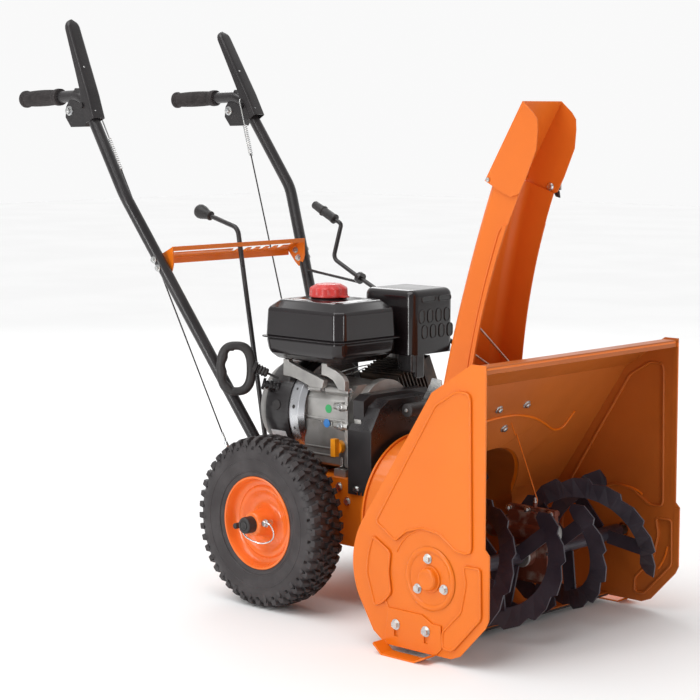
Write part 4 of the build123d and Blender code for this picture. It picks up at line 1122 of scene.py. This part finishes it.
def housing_edges():
    """Folded hem of the top lip and the rolled front edges of the side plates."""
    low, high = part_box("housing_wrap")
    lip = Shape()
    lip.block((high[0] - 0.028, low[1] + 0.004, high[2] - 0.0060),
              (high[0] + 0.0010, high[1] - 0.004, high[2] - 0.0020))
    lip.build("top_lip_hem", ORANGE, "chassis", 0.0015)
    edges = Shape()
    down, roll = (0, 0, -1), 0.0016
    for sign in (-1, 1):
        for x, z, length in ((601, 516, 0.294), (611, 200, 0.106)):
            edges.lathe(at(x, sign * 279.5, z), down, [(0, roll), (length, roll)], 12)
    edges.build("side_edge_rolls", ORANGE, "chassis")


def bearing_dish(side):
    """Pressed ring and cap round the auger bearing on a side plate."""
    sign = SIGN[side]
    shape = Shape()
    seat = at(AUGER_X, sign * (SIDE_Y + 1.5), AUGER_Z)
    ring = [(0, 0.0560), (0.0022, 0.0535), (0.0030, 0.0510), (0.0018, 0.0475), (0.0002, 0.0450)]
    shape.lathe(seat, (0, sign, 0), ring, 72, caps=False)
    cap = at(AUGER_X, sign * (SIDE_Y + 10.5), AUGER_Z)
    shape.lathe(cap, (0, sign, 0), [(-0.009, 0.0200), (-0.001, 0.0195), (0.0022, 0.0180), (0.0032, 0.0150),
                                    (0.0022, 0.0125), (0.0020, 0.001)], 48)
    shape.build("bearing_dish_" + side, ORANGE, "chassis", 0, sharp=60)


def arc_beads(side):
    """Shallow pressed arcs round the bearing on a side plate."""
    y = SIGN[side] * SIDE_Y
    for radius, start, stop in ((86, 60, 155), (104, -38, -10), (118, 196, 236)):
        points = []
        for k in range(17):
            angle = radians(start + (stop - start) * k / 16)
            points.append(at(AUGER_X + radius * cos(angle), y, AUGER_Z + radius * sin(angle)))
        wire(f"arc_bead_{side}_{radius}", points, 0.0020, ORANGE, "chassis")


PANELS = {
    "upper": [(494, 447), (540, 475), (564, 475), (571, 468), (575, 208), (568, 202), (542, 202), (505, 227),
              (464, 232), (428, 221), (402, 200), (358, 229), (413, 318)],
    "rear": [(350, 200), (391, 178), (387, 142), (393, 106), (375, 87), (355, 77), (336, 134), (340, 168)],
    "front": [(559, 179), (595, 179), (597, 94), (535, 28), (513, 28), (513, 57), (554, 98), (565, 149)],
}


def softened(points, cut=4.0):
    """Closed outline with every corner cut back to two points."""
    result = []
    for k, corner in enumerate(points):
        corner = Vector(corner)
        for other in (points[k - 1], points[(k + 1) % len(points)]):
            way = Vector(other) - corner
            result.append(corner + way.normalized() * min(cut, way.length * 0.4))
    return result


def panel_beads(side):
    """Crisp rolled edges of the pressed panels, outside and inside a side plate; the inside ones are in
    orange darkened as painted shade.
    """
    for name, outline in PANELS.items():
        # inside beads take the orange darkened as painted shade
        for face, y, mat in (("out", SIDE_Y + 2.5, ORANGE), ("in", SIDE_Y - 2.6, SHADE_ORANGE)):
            points = [at(p.x, SIGN[side] * y, p.y) for p in softened(outline)]
            wire(f"bead_{name}_{face}_{side}", points, 0.0022, mat, "chassis", cyclic=True, smooth=False)


SHADE_LINER_R = 141.6                     # radius of the painted-shade sheet just inside the impeller drum


def drum_shade_liner():
    """Sheet just inside the impeller drum, back wall and barrel, in orange darkened as painted shade."""
    shape = Shape()
    skin = SHADE_LINER_R - 0.6
    rings = []
    for angle in around(72):
        above = max(DRUM_Z + SHADE_LINER_R * sin(angle) - WALL_FOOT[1], 0)
        end = WALL_FOOT[0] - 3 + WALL_RISE[0] * above / WALL_RISE[1]
        rings.append([at(x, r * cos(angle), DRUM_Z + r * sin(angle))
                      for x, r in ((199, 20), (199, SHADE_LINER_R), (end, SHADE_LINER_R), (end, skin), (200, skin),
                                   (200, 20))])
    shape.loft(rings, close=True)
    # dark orange sheet that paints the shade inside the drum
    shape.build("drum_shade_liner", SHADE_ORANGE, "chassis")


def gearbox_details():
    """Steel flange plate, screws and grease nipple on the gearbox."""
    plate = Shape()
    plate.block(at(524, -6, 126), at(533, 6, 224))
    plate.build("gearbox_flange_plate", BRIGHT, "chassis", 0.0012)
    bolts = Shape()
    for x, z in ((-47, 78), (-4, 80), (47, 78), (47, 8), (47, -47), (-47, -47)):
        bolts.hex_bolt(at(AUGER_X + x, -11, AUGER_Z + z), (0, -1, 0), 0.0048, 0.004)
    nipple = [(0, 0.0038), (0.003, 0.0038), (0.004, 0.0022), (0.008, 0.0026), (0.010, 0.0012)]
    bolts.lathe(at(AUGER_X + 5, 0, 238), (0, 0, 1), nipple, 16)
    bolts.build("gearbox_bolts", ZINC, "chassis")
    ring = Shape()
    shaft_cap = [(0, 0.0215), (0.003, 0.0205), (0.004, 0.0150), (0.003, 0.0105)]
    ring.lathe(at(AUGER_X, -32.2, AUGER_Z), (0, -1, 0), shaft_cap, 40)
    worm_cap = [(0, 0.0205), (0.002, 0.0200), (0.004, 0.0170), (0.004, 0.001)]
    ring.lathe(at(AUGER_X + 50, 0, DRUM_Z), (1, 0, 0), worm_cap, 40)
    ring.build("gearbox_caps", CAST, "chassis", 0.0004)


# ---------------------------------------------------------------- chute
CHUTE_FOOT_Z = 398
DEFLECTOR_SCREW = (472, 808)        # X and Z of the clamp of the deflector
DEFLECTOR_HINGE = (418, 822)


def chute_front(z):
    """X of the chute's front edge at a height, in millimetres."""
    rise = z - CHUTE_FOOT_Z
    return 390 + 0.0892 * rise + 0.000341 * rise ** 2


def chute_rivet():
    """Domed rivet on the front of the chute."""
    rivet = Shape()
    dome = [(0, 0.0085), (0.0012, 0.0080), (0.0030, 0.0062), (0.0036, 0.0030)]
    rivet.lathe(at(392, 10, 733), (0.94, 0, -0.33), dome, 24)
    rivet.build("chute_rivet", CHUTE, "chute", 0.0004)


def deflector_clamp():
    """Screw of the deflector, head inside, and its wing nut."""
    x, z = DEFLECTOR_SCREW
    screw = Shape()
    head = [(0, 0.0078), (0.0014, 0.0076), (0.0040, 0.0052), (0.0048, 0.0020)]
    screw.lathe(at(x, 55, z), (0, -1, 0), head, 24)
    screw.build("deflector_screw", ZINC, "hood")
    nut = Shape()
    nut.lathe(at(x, 57.5, z), (0, 1, 0), [(0, 0.0085), (0.006, 0.0075), (0.012, 0.0050)], 24)
    for lean in (1, -1):
        wing = [(x, z - 6), (x + 8 * lean, z - 18), (x + 17 * lean, z - 20), (x + 15 * lean, z - 8),
                (x, z + 6)]
        extrude(nut, wing, 60, 63.5)
    nut.build("wing_nut", PLASTIC, "hood", 0.0008)


def chute_beads():
    """Bead along each side of the chute, a little behind its front edge."""
    for side, sign in SIGN.items():
        points = [at(chute_front(z) - 15, sign * (76.4 - (z - CHUTE_FOOT_Z) * 0.0625), z)
                  for z in range(400, 745, 38)]
        points.append(points[-1] + Vector((0.012, 0, -0.001)))
        wire("chute_bead_" + side, points, 0.0017, CHUTE, "chute")


def deflector_pivots():
    """Heads of the two pins on which the deflector tips."""
    x, z = DEFLECTOR_HINGE
    pivots = Shape()
    for sign in (-1, 1):
        pivots.lathe(at(x, sign * 50, z), (0, sign, 0), [(0, 0.0030), (0.0042, 0.0030)], 16)
    pivots.build("deflector_pivots", CHUTE, "hood")


# ---------------------------------------------------------------- studio
FLOOR_HALF = 14.0
FLOOR_PALE, FLOOR_SHADE = (0.90, 0.90, 0.90), (0.88, 0.88, 0.88)
VIEW_WAY = (-0.69, 0.72, 0.0)       # level direction in which the camera looks
SOFT_LIGHTS = [
    ("key", (-0.2, -3.6, 2.6), 1.3, 1.3, 17),
    ("near_strip", (0.0, -3.0, 0.55), 0.36, 1.2, 22),
    ("front_strip", (3.2, -1.1, 0.72), 0.30, 1.0, 12),
    ("rim", (-2.6, 2.4, 2.6), 1.6, 1.6, 30),
]


def aim(obj, way):
    """Turn a light's -Z axis along a direction."""
    obj.rotation_euler = Vector(way).to_track_quat("-Z", "Y").to_euler()


def pale_floor():
    """Large pale floor, which isn't part of the object."""
    h = FLOOR_HALF
    mesh = bpy.data.meshes.new("floor")
    mesh.from_pydata([(-h, -h, 0), (h, -h, 0), (h, h, 0), (-h, h, 0)], [], [(0, 1, 2, 3)])
    mat = new_material("pale_floor", FLOOR_PALE, 0.85, specular=0.1)
    tint(mat, FLOOR_PALE, FLOOR_SHADE, 1.5)
    mesh.materials.append(mat)
    link(bpy.data.objects.new("floor", mesh))


def surroundings():
    """White surroundings, bright behind the machine and dimmer behind the camera."""
    world = bpy.data.worlds.new("studio")
    world.use_nodes = True
    tree = world.node_tree
    back = tree.nodes["Background"]
    back.inputs["Color"].default_value = (1.0, 1.0, 1.0, 1)
    place = tree.nodes.new("ShaderNodeTexCoord")
    facing = tree.nodes.new("ShaderNodeVectorMath")
    facing.operation = "DOT_PRODUCT"
    facing.inputs[1].default_value = VIEW_WAY
    level = tree.nodes.new("ShaderNodeMapRange")
    level.inputs["From Min"].default_value = -0.3
    level.inputs["From Max"].default_value = 0.8
    level.inputs["To Min"].default_value = 0.42
    level.inputs["To Max"].default_value = 0.95
    tree.links.new(place.outputs["Generated"], facing.inputs[0])
    tree.links.new(facing.outputs["Value"], level.inputs["Value"])
    tree.links.new(level.outputs["Result"], back.inputs["Strength"])
    bpy.context.scene.world = world


def soft_light(name, place, width, height, power):
    """Rectangular area light aimed at the middle of the machine."""
    light = bpy.data.lights.new(name, "AREA")
    light.shape = "RECTANGLE"
    light.size = width
    light.size_y = height
    light.energy = power
    obj = link(bpy.data.objects.new(name, light))
    obj.location = place
    aim(obj, Vector((0, 0, 0.45)) - Vector(place))


def sky_panel():
    """Broad soft light from above."""
    sun = bpy.data.lights.new("sky_panel", "SUN")
    sun.energy = 1.55
    sun.angle = radians(50)
    aim(link(bpy.data.objects.new("sky_panel", sun)), (0.25, 0.75, -1.9))


def camera():
    """Camera in front of the auger, to the machine's right."""
    lens = bpy.data.cameras.new("camera")
    lens.lens = 102.03
    lens.sensor_width = 36
    view = link(bpy.data.objects.new("camera", lens))
    view.location = (2.737, -2.797, 0.943)
    view.rotation_euler = (radians(83.14), 0, radians(43.54))
    bpy.context.scene.camera = view


def studio():
    """Floor, surroundings, lights and camera, with colours shown unaltered."""
    pale_floor()
    surroundings()
    for setting in SOFT_LIGHTS:
        soft_light(*setting)
    sky_panel()
    camera()
    bpy.context.scene.view_settings.view_transform = "Standard"


# ---------------------------------------------------------------- build everything
paint_cad_nodes()
for side in SIGN:
    tyre(side)
    rim(side)
    wheel_hub(side)
    lever(side)
    grip(side)
fuel_tank()
fuel_cap()
pivot_bolts()
for setting in CABLES:
    cable(*setting)
knob()
crank_grip()
pull_handle()
disc_label("case_dot_green", 48, 374, -84.2, (0.02, 0.42, 0.12), 0.0085)
disc_label("case_dot_blue", 46, 346, -87.2, (0.03, 0.22, 0.62), 0.0085)
engine_bolts()
crankcase_ribs()
shroud_details()
housing_label()
governor_linkage()
cover_bracket()
exhaust_guard()
lower_casting()
wall_details()
housing_edges()
for side in SIGN:
    bearing_dish(side)
    arc_beads(side)
    panel_beads(side)
drum_shade_liner()
gearbox_details()
chute_rivet()
deflector_clamp()
chute_beads()
deflector_pivots()
studio()
